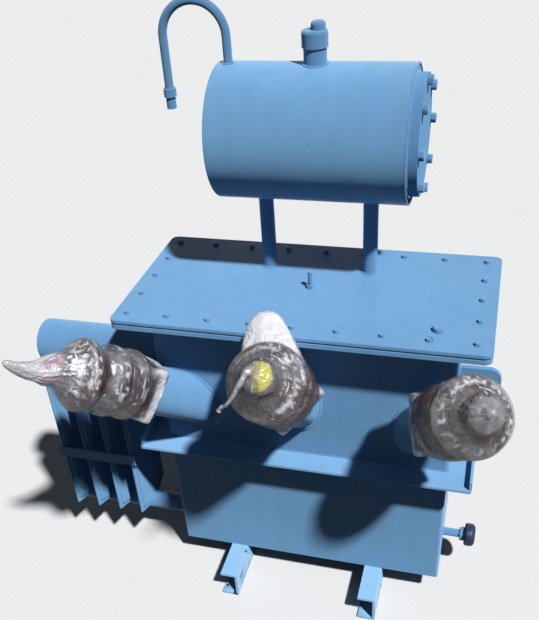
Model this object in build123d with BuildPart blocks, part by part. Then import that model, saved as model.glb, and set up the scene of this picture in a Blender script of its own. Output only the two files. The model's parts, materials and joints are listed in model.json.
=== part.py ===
from build123d import *
from math import cos, radians, sin
import os

# Small oil filled distribution transformer. Millimetres, Z up, the front with the
# three high voltage bushings faces -Y. The origin lies on the ground, midway
# between the side walls and midway between the front and back walls of the tank.

# Base channels, folded sections that run from front to back
channel_height = 62.0
channel_width = 36.0
channel_sheet = 5.0
channel_length = 402.0
channel_left_x = -151.0
channel_right_x = 143.0
channel_bend = 4.0

# Tank
tank_length = 552.0
tank_depth = 226.0
tank_wall = 4.0
tank_floor = 5.0
tank_height = 587.0
tank_corner = 6.0

# Bolted top: rim on the tank, cork gasket and cover plate
rim_overhang_side = 54.0
rim_overhang_front = 54.0
rim_thickness = 8.0
gasket_thickness = 4.0
gasket_inset = 2.0
cover_thickness = 6.0
cover_corner = 14.0
cover_edge = 1.0

# Stiffening band round the tank at mid height
band_top_height = 296.0
band_thickness = 5.0
band_reach = 46.0
band_lip_height = 18.0
band_lip_thickness = 5.0
band_corner = 4.0

# High voltage bushings, each as place along the wall, drop below the top of the
# tank, splay to the side, rise from level and turn of the clamp flange
hv_left = dict(name="left", x=-214.0, drop=187.0, splay=-38.0, rise=36.5, turn=4.5)
hv_middle = dict(name="middle", x=-8.0, drop=168.0, splay=2.0, rise=44.0, turn=51.0)
hv_right = dict(name="right", x=222.0, drop=191.0, splay=26.0, rise=41.5, turn=-5.5)
hv_bushings = [hv_left, hv_middle, hv_right]
turret_diameter = 92.0
turret_wall = 4.0
turret_reach = 118.0
flange_side = 101.0
flange_thickness = 9.0
flange_corner = 4.0
porcelain_foot_radius = 41.0
porcelain_foot_height = 12.0
porcelain_neck_radius = 33.0
porcelain_waist_radius = 28.0
porcelain_top_radius = 21.0
porcelain_length = 166.0
large_shed_radius = 62.5
small_shed_radius = 49.0
shed_edge = 5.0
shed_underside = 9.0
shed_slope = 15.0
shed_rim_fillet = 2.2
shed_root_fillet = 4.0
shed_pitch = 49.0
first_shed_rise = 36.0
cap_radius = 26.0
cap_skirt = 16.0
cap_dome = 14.0
cap_stud_radius = 6.0
cap_stud_length = 12.0

# Stretch film wound over each bushing, from the edges of its clamp flange to a
# twisted tail beyond the cap, with a loose lobe that stands up on the middle one
film_thickness = 1.2
film_round_flat = 1.0
film_round_step = 0.6
film_shed_land = 6.0
film_waist_slack = 4.0
film_shoulder_radius = 38.0
film_cap_slack = 3.0
film_tail_roots = dict(left=20.0, middle=11.0, right=11.0)
film_tail_end_radius = 5.0
film_tails = dict(left=58.0, middle=10.0, right=6.0)
film_lobe_heights = dict(left=0.0, middle=104.0, right=0.0)
film_lobe_width = 72.0
film_lobe_rise = 84.0
film_lobe_across = -20.0
film_lobe_lift = 72.0

# Low voltage bushings on the back wall
lv_count = 4
lv_pitch = 92.0
lv_drop = 135.0
lv_flange_radius = 27.0
lv_flange_height = 10.0
lv_neck_radius = 16.0
lv_neck_height = 16.0
lv_shed_radius = 24.0
lv_shed_height = 26.0
lv_shed_slope = 4.0
lv_shed_edge = 4.0
lv_shed_rise = 18.0
lv_top_radius = 13.0
lv_length = 62.0
lv_stem_radius = 6.0
lv_stem_length = 34.0
lv_nut_radius = 11.0
lv_nut_height = 8.0

# Oil conservator on two pipes
drum_diameter = 226.0
drum_length = 330.0
drum_wall = 3.0
drum_y = 76.0
drum_clearance = 145.0
drum_end_thickness = 4.0
drum_end_inset = 3.0
end_ring_diameter = 196.0
end_ring_width = 30.0
end_ring_thickness = 9.0
end_cover_thickness = 6.0
end_gasket_thickness = 2.5
support_diameter = 27.0
support_wall = 3.0
support_spacing = 192.0

# Filler on top of the conservator
filler_x = 2.0
filler_diameter = 38.0
filler_wall = 3.0
filler_rise = 26.0
filler_cap_diameter = 43.0
filler_cap_height = 26.0
filler_cap_edge = 5.0
filler_boss_diameter = 24.0
filler_boss_height = 13.0
filler_boss_offset = 6.0
filler_boss_edge = 6.0

# Breather pipe, bent over to hang down at the left
breather_diameter = 15.0
breather_wall = 2.0
breather_x = -146.0
breather_span = 111.0
breather_rise = 42.0
breather_drop = 84.0
breather_socket_diameter = 22.0
breather_socket_height = 14.0
breather_nipple_diameter = 17.0
breather_nipple_height = 20.0

# Radiator on the left side
radiator_y = -55.0
upper_pipe_diameter = 89.0
upper_pipe_drop = 128.0
upper_pipe_reach = 269.0
lower_pipe_diameter = 40.0
lower_pipe_height = 43.0
lower_pipe_reach = 262.0
pipe_end_dome = 9.0
fin_count = 4
fin_pitch = 52.0
first_fin_gap = 97.0
fin_depth = 130.0
fin_seam = 3.0
fin_body = 11.0
fin_seam_width = 8.0
fin_body_taper = 25.0
fin_bottom_height = 61.0
fin_bottom_point = 27.0
fin_top_drop = 31.0
tie_height = 216.0
tie_width = 25.0
tie_thickness = 3.0

# Small fittings
lug_reach = 76.0
lug_height = 104.0
lug_drop = 129.0
lug_thickness = 10.0
lug_corner = 22.0
lug_hole_diameter = 32.0
lug_hole_inset = 32.0
drain_diameter = 17.0
drain_y = -12.0
drain_height = 34.0
drain_reach = 44.0
drain_knob_diameter = 48.0
drain_knob_length = 22.0
drain_knob_edge = 5.0
drain_knob_crown = 10.0
stud_diameter = 9.0
stud_height = 33.0
stud_nut_diameter = 16.0
stud_nut_height = 7.0
plug_side_inset = 90.0
plug_front_inset = 61.0
plug_diameter = 21.0
plug_height = 9.0
plug_edge = 3.0

# Clearances
fit_gap = 0.2
film_gap = 0.3

# Heights and faces that follow from the sizes above
tank_bottom_z = channel_height
gasket_z = tank_bottom_z + tank_height
cover_z = gasket_z + gasket_thickness
cover_top_z = cover_z + cover_thickness
inner_length = tank_length - 2 * tank_wall
inner_depth = tank_depth - 2 * tank_wall
inner_corner = tank_corner - tank_wall
front_y = -tank_depth / 2
back_y = tank_depth / 2
side_x = tank_length / 2
rim_length = tank_length + 2 * rim_overhang_side
rim_depth = tank_depth + 2 * rim_overhang_front
drum_radius = drum_diameter / 2
drum_z = cover_top_z + drum_clearance + drum_radius
drum_end_x = drum_length / 2

os.makedirs("parts", exist_ok=True)


def save(block, label):
    block.part.label = label
    export_step(block.part, f"parts/{label}.step")


# Two channels carry the tank, both open to the left
def base_channel(centre_x, label):
    with BuildPart() as channel:
        with BuildSketch(Plane.XZ.offset(-channel_length / 2)) as section:
            with Locations((centre_x, channel_height / 2)):
                Rectangle(channel_width, channel_height)
            with Locations((centre_x - channel_sheet, channel_height / 2)):
                Rectangle(channel_width, channel_height - 2 * channel_sheet, mode=Mode.SUBTRACT)
            web_corners = section.vertices().group_by(Axis.X)[-1]
            fillet(web_corners, channel_bend)
        extrude(amount=channel_length)
    save(channel, label)


base_channel(channel_left_x, "base_channel_left")
base_channel(channel_right_x, "base_channel_right")

# Tank: welded walls on a flat floor, open at the top
with BuildPart() as tank_shell:
    with BuildSketch(Plane.XY.offset(tank_bottom_z)):
        RectangleRounded(tank_length, tank_depth, tank_corner)
    extrude(amount=tank_height)
    with BuildSketch(Plane.XY.offset(tank_bottom_z + tank_floor)):
        RectangleRounded(inner_length, inner_depth, inner_corner)
    extrude(amount=tank_height, mode=Mode.SUBTRACT)
save(tank_shell, "tank_shell")


# The outline of a flat ring that fits round the tank walls
def tank_ring(length, depth, corner, bottom_z):
    with BuildSketch(Plane.XY.offset(bottom_z)) as ring:
        RectangleRounded(length, depth, corner)
        RectangleRounded(tank_length, tank_depth, tank_corner, mode=Mode.SUBTRACT)
    return ring.sketch


with BuildPart() as tank_rim:
    extrude(tank_ring(rim_length, rim_depth, cover_corner, gasket_z - rim_thickness), amount=rim_thickness)
save(tank_rim, "tank_rim")

with BuildPart() as cover_gasket:
    with BuildSketch(Plane.XY.offset(gasket_z)):
        RectangleRounded(rim_length - 2 * gasket_inset, rim_depth - 2 * gasket_inset, cover_corner - gasket_inset)
        RectangleRounded(inner_length, inner_depth, inner_corner, mode=Mode.SUBTRACT)
    extrude(amount=gasket_thickness)
save(cover_gasket, "cover_gasket")

with BuildPart() as top_cover:
    with BuildSketch(Plane.XY.offset(cover_z)):
        RectangleRounded(rim_length, rim_depth, cover_corner)
    extrude(amount=cover_thickness)
    chamfer(top_cover.edges().group_by(Axis.Z)[-1], cover_edge)
save(top_cover, "top_cover")

# Stiffening band with an upturned lip along each side
band_bottom_z = tank_bottom_z + band_top_height - band_thickness
band_length = tank_length + 2 * band_reach
band_depth = tank_depth + 2 * band_reach
with BuildPart() as stiffening_band:
    extrude(tank_ring(band_length, band_depth, band_corner, band_bottom_z), amount=band_thickness)
    lip_x = band_length / 2 - band_lip_thickness / 2
    with BuildSketch(Plane.XY.offset(band_bottom_z + band_thickness)):
        with Locations((-lip_x, 0), (lip_x, 0)):
            Rectangle(band_lip_thickness, band_depth - 2 * band_corner)
    extrude(amount=band_lip_height)
save(stiffening_band, "stiffening_band")


# A bushing stands on a slanted pipe. Its plane lies on the wall, with its normal
# along the pipe, and its profile plane holds that normal as the local Y axis.
def bushing_frame(place):
    splay = radians(place["splay"])
    rise = radians(place["rise"])
    base = Vector(place["x"], front_y, gasket_z - place["drop"])
    along = Vector(sin(splay) * cos(rise), -cos(splay) * cos(rise), sin(rise))
    across = Vector(0, 0, 1).cross(along).normalized()
    return base, along, across


def cross_plane(place, distance):
    base, along, across = bushing_frame(place)
    return Plane(origin=base + along * distance, x_dir=across, z_dir=along)


def profile_plane(place, distance):
    base, along, across = bushing_frame(place)
    return Plane(origin=base + along * distance, x_dir=across, z_dir=across.cross(along))


def bushing_axis(place):
    base, along, _ = bushing_frame(place)
    return Axis(base, along)


shed_radii = [large_shed_radius, small_shed_radius, large_shed_radius]
last_shed_top = first_shed_rise + (len(shed_radii) - 1) * shed_pitch + shed_slope
flange_top = turret_reach + flange_thickness
cap_start = flange_top + porcelain_length
cap_dome_z = cap_skirt + cap_dome
cap_top_z = cap_dome_z + cap_stud_length


# The turned outline of the porcelain, as radius and height above the flange
def porcelain_outline():
    points = [
        (0, 0),
        (porcelain_foot_radius, 0),
        (porcelain_foot_radius, porcelain_foot_height),
        (porcelain_neck_radius, porcelain_foot_height),
    ]
    for index, radius in enumerate(shed_radii):
        top = first_shed_rise + index * shed_pitch
        points.append((porcelain_waist_radius, top - shed_underside))
        points.append((radius, top - shed_edge))
        points.append((radius, top))
        points.append((porcelain_waist_radius, top + shed_slope))
    points.append((porcelain_top_radius, porcelain_length))
    points.append((0, porcelain_length))
    return points


# The film lies on the shed edges, sinks in between them and ends in a twisted tail.
# Its inner face has no skin and no tail.
film_first_rise = first_shed_rise - shed_edge / 2
film_round_rise = film_first_rise - film_shed_land


def film_outline(skin, tail, root):
    wide = large_shed_radius + film_gap + skin
    narrow = small_shed_radius + film_waist_slack + skin
    second = film_first_rise + shed_pitch
    third = second + shed_pitch
    tail_start = porcelain_length + cap_top_z + film_cap_slack
    points = [
        (0, film_round_rise),
        (wide, film_round_rise),
        (wide, film_first_rise + film_shed_land),
        (narrow, second - film_shed_land),
        (narrow, second + film_shed_land),
        (wide, third - film_shed_land),
        (wide, third + film_shed_land),
        (film_shoulder_radius + skin, porcelain_length),
        (cap_radius + film_cap_slack + skin, porcelain_length + cap_skirt),
        (root + skin, tail_start),
    ]
    if tail:
        points.append((film_tail_end_radius, tail_start + tail))
    points.append((0, tail_start + tail))
    return points


# A square sleeve over the flange, a loft from its square to the round of the first
# shed, and the turned body beyond it
def film_form(place, skin, tail):
    square = flange_side + 2 * (film_gap + skin)
    corner = flange_corner + film_gap + skin
    round_half = large_shed_radius + film_gap + film_round_step + skin
    with BuildPart() as form:
        for distance in (turret_reach, flange_top):
            with BuildSketch(cross_plane(place, distance)):
                with Locations(Rotation(0, 0, place["turn"])):
                    RectangleRounded(square, square, corner)
            if distance == turret_reach:
                extrude(amount=flange_thickness)
        with BuildSketch(cross_plane(place, flange_top + film_round_rise)):
            with Locations(Rotation(0, 0, place["turn"])):
                RectangleRounded(2 * round_half, 2 * round_half, round_half - film_round_flat)
        loft()
        with BuildSketch(profile_plane(place, flange_top)):
            with BuildLine():
                Polyline(film_outline(skin, tail, film_tail_roots[place["name"]]), close=True)
            make_face()
        revolve(axis=bushing_axis(place))
    return form.part


def hv_bushing(place):
    name = place["name"]
    axis = bushing_axis(place)
    with BuildPart() as turret:
        with BuildSketch(cross_plane(place, -turret_diameter)):
            Circle(turret_diameter / 2)
            Circle(turret_diameter / 2 - turret_wall, mode=Mode.SUBTRACT)
        extrude(amount=turret_diameter + turret_reach)
        split(bisect_by=Plane.XZ.offset(-front_y), keep=Keep.TOP)
    save(turret, f"turret_{name}")

    with BuildPart() as flange:
        with BuildSketch(cross_plane(place, turret_reach)):
            with Locations(Rotation(0, 0, place["turn"])):
                RectangleRounded(flange_side, flange_side, flange_corner)
        extrude(amount=flange_thickness)
    save(flange, f"bushing_flange_{name}")

    with BuildPart() as porcelain:
        with BuildSketch(profile_plane(place, flange_top)) as section:
            with BuildLine():
                Polyline(porcelain_outline(), close=True)
            make_face()
            sheds = section.vertices().filter_by_position(Axis.Y, porcelain_foot_height + fit_gap, last_shed_top)
            rims = sheds.filter_by(lambda corner: corner.X > porcelain_foot_radius)
            roots = sheds.filter_by(lambda corner: corner.X < porcelain_foot_radius)
            fillet(rims, shed_rim_fillet)
            fillet(roots, shed_root_fillet)
        revolve(axis=axis)
    save(porcelain, f"porcelain_{name}")

    with BuildPart() as cap:
        with BuildSketch(profile_plane(place, cap_start)):
            with BuildLine():
                skirt = Polyline((0, 0), (cap_radius, 0), (cap_radius, cap_skirt))
                dome = TangentArc(skirt @ 1, (cap_stud_radius, cap_dome_z), tangent=skirt % 1)
                Polyline(dome @ 1, (cap_stud_radius, cap_top_z), (0, cap_top_z), (0, 0))
            make_face()
        revolve(axis=axis)
    save(cap, f"terminal_cap_{name}")

    lobe_height = film_lobe_heights[name]
    with BuildPart() as film:
        add(film_form(place, film_thickness, film_tails[name]))
        if lobe_height:
            level = cross_plane(place, flange_top + film_lobe_rise)
            centre = level.from_local_coords((film_lobe_across, film_lobe_lift, 0))
            with BuildSketch(Plane(origin=centre, x_dir=level.x_dir, z_dir=level.z_dir)):
                with BuildLine():
                    lobe_side = EllipticalCenterArc((0, 0), film_lobe_width / 2, lobe_height / 2, -90, arc_size=180)
                    Line(lobe_side @ 1, lobe_side @ 0)
                make_face()
            revolve(axis=Axis(centre, level.y_dir))
        add(film_form(place, 0, 0), mode=Mode.SUBTRACT)
    return film.part


film_solids = [hv_bushing(place) for place in hv_bushings]
with BuildPart() as stretch_film:
    for solid in film_solids:
        add(solid)
save(stretch_film, "stretch_film")


# Low voltage bushings in a row on the back wall
def lv_plane(index):
    x = (index - (lv_count - 1) / 2) * lv_pitch
    return Plane(origin=(x, back_y, gasket_z - lv_drop), x_dir=(1, 0, 0), z_dir=(0, 0, 1))


def lv_axis(index):
    return Axis(lv_plane(index).origin, (0, 1, 0))


lv_shed_top = lv_shed_height + lv_shed_slope + lv_shed_edge
with BuildPart() as lv_porcelain:
    for index in range(lv_count):
        with BuildSketch(lv_plane(index)):
            with BuildLine():
                Polyline(
                    (0, 0),
                    (lv_flange_radius, 0),
                    (lv_flange_radius, lv_flange_height),
                    (lv_neck_radius, lv_neck_height),
                    (lv_neck_radius, lv_shed_height),
                    (lv_shed_radius, lv_shed_height + lv_shed_slope),
                    (lv_shed_radius, lv_shed_top),
                    (lv_neck_radius, lv_shed_height + lv_shed_rise),
                    (lv_top_radius, lv_length),
                    (0, lv_length),
                    close=True,
                )
            make_face()
        revolve(axis=lv_axis(index))
save(lv_porcelain, "lv_porcelain")

lv_nut_top = lv_length + lv_nut_height
lv_stem_top = lv_length + lv_stem_length
with BuildPart() as lv_terminals:
    for index in range(lv_count):
        with BuildSketch(lv_plane(index)):
            with BuildLine():
                Polyline(
                    (0, lv_length),
                    (lv_nut_radius, lv_length),
                    (lv_nut_radius, lv_nut_top),
                    (lv_stem_radius, lv_nut_top),
                    (lv_stem_radius, lv_stem_top),
                    (0, lv_stem_top),
                    close=True,
                )
            make_face()
        revolve(axis=lv_axis(index))
save(lv_terminals, "lv_terminals")

# Conservator: rolled shell, welded left end, ring and bolted cover at the right end
drum_plane = Plane(origin=(0, drum_y, drum_z), x_dir=(0, 1, 0), z_dir=(1, 0, 0))
with BuildPart() as conservator_shell:
    with BuildSketch(drum_plane.offset(-drum_end_x)):
        Circle(drum_radius)
        Circle(drum_radius - drum_wall, mode=Mode.SUBTRACT)
    extrude(amount=drum_length)
save(conservator_shell, "conservator_shell")


def drum_disc(offset, radius, thickness, label, hole=0.0):
    with BuildPart() as disc:
        with BuildSketch(drum_plane.offset(offset)):
            Circle(radius)
            if hole:
                Circle(hole, mode=Mode.SUBTRACT)
        extrude(amount=thickness)
    save(disc, label)


end_radius = drum_radius - drum_wall
ring_radius = end_ring_diameter / 2
ring_hole = ring_radius - end_ring_width
left_end_x = -drum_end_x + drum_end_inset
right_end_x = drum_end_x - drum_end_thickness
end_gasket_x = drum_end_x + end_ring_thickness
end_cover_depth = end_gasket_thickness + end_cover_thickness
drum_disc(left_end_x, end_radius, drum_end_thickness, "conservator_left_end")
drum_disc(right_end_x, end_radius, drum_end_thickness, "conservator_right_end", ring_hole)
drum_disc(drum_end_x, ring_radius, end_ring_thickness, "conservator_end_ring", ring_hole)
drum_disc(end_gasket_x, ring_radius, end_cover_depth, "conservator_end_cover")


# Pipes under the conservator, cut to the round of the shell
def support_pipe(centre_x, label):
    with BuildPart() as pipe:
        with BuildSketch(Plane.XY.offset(cover_top_z)):
            with Locations((centre_x, drum_y)):
                Circle(support_diameter / 2)
                Circle(support_diameter / 2 - support_wall, mode=Mode.SUBTRACT)
        extrude(amount=drum_z - cover_top_z)
        with BuildSketch(drum_plane.offset(-drum_end_x)):
            Circle(drum_radius + fit_gap)
        extrude(amount=drum_length, mode=Mode.SUBTRACT)
    save(pipe, label)


support_pipe(-support_spacing / 2, "support_pipe_left")
support_pipe(support_spacing / 2, "support_pipe_right")

# Filler neck and its screw cap with an offset boss
filler_top_z = drum_z + drum_radius + filler_rise
with BuildPart() as filler_neck:
    with BuildSketch(Plane.XY.offset(drum_z)):
        with Locations((filler_x, drum_y)):
            Circle(filler_diameter / 2)
            Circle(filler_diameter / 2 - filler_wall, mode=Mode.SUBTRACT)
    extrude(amount=filler_top_z - drum_z)
    with BuildSketch(drum_plane.offset(-drum_end_x)):
        Circle(drum_radius + fit_gap)
    extrude(amount=drum_length, mode=Mode.SUBTRACT)
save(filler_neck, "filler_neck")

with BuildPart() as filler_cap:
    with BuildSketch(Plane.XY.offset(filler_top_z)):
        with Locations((filler_x, drum_y)):
            Circle(filler_cap_diameter / 2)
    extrude(amount=filler_cap_height)
    fillet(filler_cap.edges().group_by(Axis.Z)[-1], filler_cap_edge)
    with BuildSketch(Plane.XY.offset(filler_top_z + filler_cap_height)):
        with Locations((filler_x + filler_boss_offset, drum_y)):
            Circle(filler_boss_diameter / 2)
    extrude(amount=filler_boss_height)
    fillet(filler_cap.edges().group_by(Axis.Z)[-1], filler_boss_edge)
save(filler_cap, "filler_cap")

# Breather pipe: up from the shell, half round over the top and down at the left
bend_radius = breather_span / 2
breather_top_z = drum_z + drum_radius + breather_rise
breather_end_z = breather_top_z - breather_drop
with BuildPart() as breather_pipe:
    with BuildLine() as breather_path:
        rise_line = Line((breather_x, drum_y, drum_z), (breather_x, drum_y, breather_top_z))
        bend = ThreePointArc(
            (breather_x, drum_y, breather_top_z),
            (breather_x - bend_radius, drum_y, breather_top_z + bend_radius),
            (breather_x - breather_span, drum_y, breather_top_z),
        )
        drop_line = Line(bend @ 1, (breather_x - breather_span, drum_y, breather_end_z))
    with BuildSketch(Plane(origin=(breather_x, drum_y, drum_z), z_dir=(0, 0, 1))):
        Circle(breather_diameter / 2)
        Circle(breather_diameter / 2 - breather_wall, mode=Mode.SUBTRACT)
    sweep(path=breather_path.wires()[0])
    with BuildSketch(drum_plane.offset(-drum_end_x)):
        Circle(drum_radius + fit_gap)
    extrude(amount=drum_length, mode=Mode.SUBTRACT)
save(breather_pipe, "breather_pipe")

with BuildPart() as breather_socket:
    with BuildSketch(Plane.XY.offset(breather_end_z)):
        with Locations((breather_x - breather_span, drum_y)):
            Circle(breather_socket_diameter / 2)
    extrude(amount=-breather_socket_height)
    with BuildSketch(Plane.XY.offset(breather_end_z - breather_socket_height)):
        with Locations((breather_x - breather_span, drum_y)):
            Circle(breather_nipple_diameter / 2)
    extrude(amount=-breather_nipple_height)
    with Locations((breather_x - breather_span, drum_y, breather_end_z)):
        Hole(breather_diameter / 2 - breather_wall, breather_socket_height + breather_nipple_height)
save(breather_socket, "breather_socket")

# Radiator pipes, closed and rounded at their outer ends
upper_pipe_z = gasket_z - upper_pipe_drop
lower_pipe_z = tank_bottom_z + lower_pipe_height


def radiator_pipe(diameter, height_z, reach, label):
    with BuildPart() as pipe:
        with BuildSketch(Plane(origin=(-side_x, radiator_y, height_z), x_dir=(0, 1, 0), z_dir=(-1, 0, 0))):
            Circle(diameter / 2)
        extrude(amount=reach)
        fillet(pipe.edges().group_by(Axis.X)[0], pipe_end_dome)
    save(pipe, label)


radiator_pipe(upper_pipe_diameter, upper_pipe_z, upper_pipe_reach, "radiator_upper_pipe")
radiator_pipe(lower_pipe_diameter, lower_pipe_z, lower_pipe_reach, "radiator_lower_pipe")


# A pressed fin: two sheets with a seam round the edge, pointed below the lower pipe
def fin_outline(inset):
    half = fin_depth / 2 - inset
    bottom = tank_bottom_z + fin_bottom_height + inset
    point = bottom - fin_bottom_point
    top = upper_pipe_z - fin_top_drop
    return [
        (radiator_y - half, bottom),
        (radiator_y, point),
        (radiator_y + half, bottom),
        (radiator_y + half, top - inset),
        (radiator_y, top + fin_bottom_point),
        (radiator_y - half, top - inset),
    ]


def radiator_fin(index):
    centre_x = -side_x - first_fin_gap - index * fin_pitch
    with BuildPart() as fin:
        with BuildSketch(Plane.YZ.offset(centre_x - fin_seam / 2)):
            Polygon(*fin_outline(0), align=None)
        extrude(amount=fin_seam)
        for side in (-1, 1):
            seam_face = (centre_x + side * fin_seam / 2, 0, 0)
            with BuildSketch(Plane(origin=seam_face, x_dir=(0, side, 0), z_dir=(side, 0, 0))):
                Polygon(*[(side * y, z) for y, z in fin_outline(fin_seam_width)], align=None)
            extrude(amount=(fin_body - fin_seam) / 2, taper=fin_body_taper)
        for diameter, height_z in ((upper_pipe_diameter, upper_pipe_z), (lower_pipe_diameter, lower_pipe_z)):
            with BuildSketch(Plane.YZ.offset(centre_x - fin_body)):
                with Locations((radiator_y, height_z)):
                    Circle(diameter / 2 + fit_gap)
            extrude(amount=2 * fin_body, mode=Mode.SUBTRACT)
    save(fin, f"radiator_fin_{index + 1}")


for fin_index in range(fin_count):
    radiator_fin(fin_index)

# Tie bar across the front edges of the fins
first_fin_x = -side_x - first_fin_gap
last_fin_x = first_fin_x - (fin_count - 1) * fin_pitch
fin_front_y = radiator_y - fin_depth / 2
tie_length = first_fin_x - last_fin_x + 2 * fin_body
with BuildPart() as radiator_tie:
    with BuildSketch(Plane.XZ.offset(-fin_front_y)):
        with Locations(((first_fin_x + last_fin_x) / 2, tank_bottom_z + tie_height)):
            Rectangle(tie_length, tie_width)
    extrude(amount=tie_thickness)
save(radiator_tie, "radiator_tie")


# Lifting lugs on the side walls
def lifting_lug(side, label):
    top_z = gasket_z - lug_drop
    with BuildPart() as lug:
        with BuildSketch(Plane.XZ.offset(-lug_thickness / 2)) as plate:
            with Locations((side * (side_x + lug_reach / 2), top_z - lug_height / 2)):
                Rectangle(lug_reach, lug_height)
            outer = plate.vertices().group_by(Axis.X)[-1 if side > 0 else 0]
            fillet(outer, lug_corner)
            with Locations((side * (side_x + lug_reach - lug_hole_inset), top_z - lug_height / 2)):
                Circle(lug_hole_diameter / 2, mode=Mode.SUBTRACT)
        extrude(amount=lug_thickness)
    save(lug, label)


lifting_lug(-1, "lifting_lug_left")
lifting_lug(1, "lifting_lug_right")

# Drain pipe with its round plug, low on the right wall
drain_z = tank_bottom_z + drain_height
drain_plane = Plane(origin=(side_x, drain_y, drain_z), x_dir=(0, 1, 0), z_dir=(1, 0, 0))
with BuildPart() as drain_pipe:
    with BuildSketch(drain_plane):
        Circle(drain_diameter / 2)
    extrude(amount=drain_reach)
save(drain_pipe, "drain_pipe")

with BuildPart() as drain_knob:
    with BuildSketch(drain_plane.offset(drain_reach)):
        Circle(drain_knob_diameter / 2)
    extrude(amount=drain_knob_length)
    fillet(drain_knob.edges().group_by(Axis.X)[-1], drain_knob_crown)
    fillet(drain_knob.edges().group_by(Axis.X)[0], drain_knob_edge)
save(drain_knob, "drain_knob")

# Stud and plug on the cover
with BuildPart() as cover_stud:
    with BuildSketch(Plane.XY.offset(cover_top_z)):
        RegularPolygon(stud_nut_diameter / 2, 6)
    extrude(amount=stud_nut_height)
    with BuildSketch(Plane.XY.offset(cover_top_z + stud_nut_height)):
        Circle(stud_diameter / 2)
    extrude(amount=stud_height - stud_nut_height)
save(cover_stud, "cover_stud")

with BuildPart() as thermometer_plug:
    with BuildSketch(Plane.XY.offset(cover_top_z)):
        with Locations((rim_length / 2 - plug_side_inset, plug_front_inset - rim_depth / 2)):
            Circle(plug_diameter / 2)
    extrude(amount=plug_height)
    fillet(thermometer_plug.edges().group_by(Axis.Z)[-1], plug_edge)
save(thermometer_plug, "thermometer_plug")
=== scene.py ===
"""A small oil-filled distribution transformer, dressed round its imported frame.

Lengths are in metres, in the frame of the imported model: Z up, the floor at Z 0 and the
front with the high voltage bushings towards -Y.
"""

import json
import logging
import math
from collections.abc import Callable, Iterable
from dataclasses import dataclass, field
from enum import Enum

import bmesh
import bpy
import numpy as np
from mathutils import Matrix, Vector, noise


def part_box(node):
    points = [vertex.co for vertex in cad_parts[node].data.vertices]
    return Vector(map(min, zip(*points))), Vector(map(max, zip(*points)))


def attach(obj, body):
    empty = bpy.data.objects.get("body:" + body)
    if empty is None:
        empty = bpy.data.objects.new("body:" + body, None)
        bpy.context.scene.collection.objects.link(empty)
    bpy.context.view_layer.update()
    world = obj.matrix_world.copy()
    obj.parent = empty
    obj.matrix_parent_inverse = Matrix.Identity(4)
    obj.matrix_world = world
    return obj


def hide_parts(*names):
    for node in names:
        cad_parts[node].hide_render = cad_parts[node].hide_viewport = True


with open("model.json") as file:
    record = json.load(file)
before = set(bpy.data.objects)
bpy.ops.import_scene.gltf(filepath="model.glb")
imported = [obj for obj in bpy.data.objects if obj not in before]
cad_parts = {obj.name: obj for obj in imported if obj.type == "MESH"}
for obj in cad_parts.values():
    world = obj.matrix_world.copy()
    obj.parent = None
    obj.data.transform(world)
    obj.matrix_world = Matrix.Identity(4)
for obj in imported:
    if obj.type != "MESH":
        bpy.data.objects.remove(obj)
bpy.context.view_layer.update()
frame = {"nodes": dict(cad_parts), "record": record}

LOG = logging.getLogger("transformer")
MM = 0.001
ROOT = "root"
SCREEN_LEVELS = 255
SCREEN_GAMMA = 2.2
HEXAGON = 6
PARALLEL = 0.9  # the least cosine at which a face or an edge lies along a direction
TOLERANCE = 1e-9
UP = Vector((0.0, 0.0, 1.0))
TO_LEFT = Vector((-1.0, 0.0, 0.0))
TO_RIGHT = Vector((1.0, 0.0, 0.0))
TO_FRONT = Vector((0.0, -1.0, 0.0))
PAINTED_LIGHT_SIDE = (0.33, -0.55, 0.77)  # the direction that the film's painted highlights face; its painted shade lies on the far side

Piece = bpy.types.Object
Material = bpy.types.Material
Socket = bpy.types.NodeSocket
Pair = tuple[float, float]
Triple = tuple[float, float, float]
Colour = Triple
Station = Triple


class Side(Enum):
    """The three high voltage bushings, from left to right."""

    LEFT = "left"
    MIDDLE = "middle"
    RIGHT = "right"


def srgb(red: int, green: int, blue: int) -> Colour:
    """A screen colour of 0 to 255 a channel as the linear colour that shaders take."""
    return tuple((level / SCREEN_LEVELS) ** SCREEN_GAMMA for level in (red, green, blue))


def held(value: float) -> float:
    """A value held between 0 and 1."""
    return min(1.0, max(0.0, value))


# Handling of objects


def deselect() -> None:
    """Clears the selection, so that an operator acts only on what is picked next."""
    for item in list(bpy.context.selected_objects):
        item.select_set(False)


def pick(*items: Piece) -> None:
    """Selects some objects alone.

    Args:
        items: The objects, of which the first becomes the active one.
    """
    deselect()
    for item in items:
        item.select_set(True)
    bpy.context.view_layer.objects.active = items[0]


def added(name: str) -> Piece:
    """Names the primitive that was just added.

    Args:
        name: The name of the object and of its mesh.

    Returns:
        The object.
    """
    piece = bpy.context.object
    piece.name = name
    piece.data.name = name
    return piece


def settle(piece: Piece) -> Piece:
    """Puts the place, turn and scale of a piece into its mesh.

    Args:
        piece: The mesh object.

    Returns:
        The same object, now at the origin.
    """
    pick(piece)
    bpy.ops.object.transform_apply(location=True, rotation=True, scale=True)
    return piece


def finish_with(piece: Piece, kind: str, **settings: object) -> None:
    """Adds a modifier, sets it and applies it.

    Args:
        piece: The mesh object that takes the modifier.
        kind: The modifier's type.
        settings: Its properties by name.
    """
    pick(piece)
    modifier = piece.modifiers.new(kind.lower(), kind)
    for key, value in settings.items():
        setattr(modifier, key, value)
    bpy.ops.object.modifier_apply(modifier=modifier.name)


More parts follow.
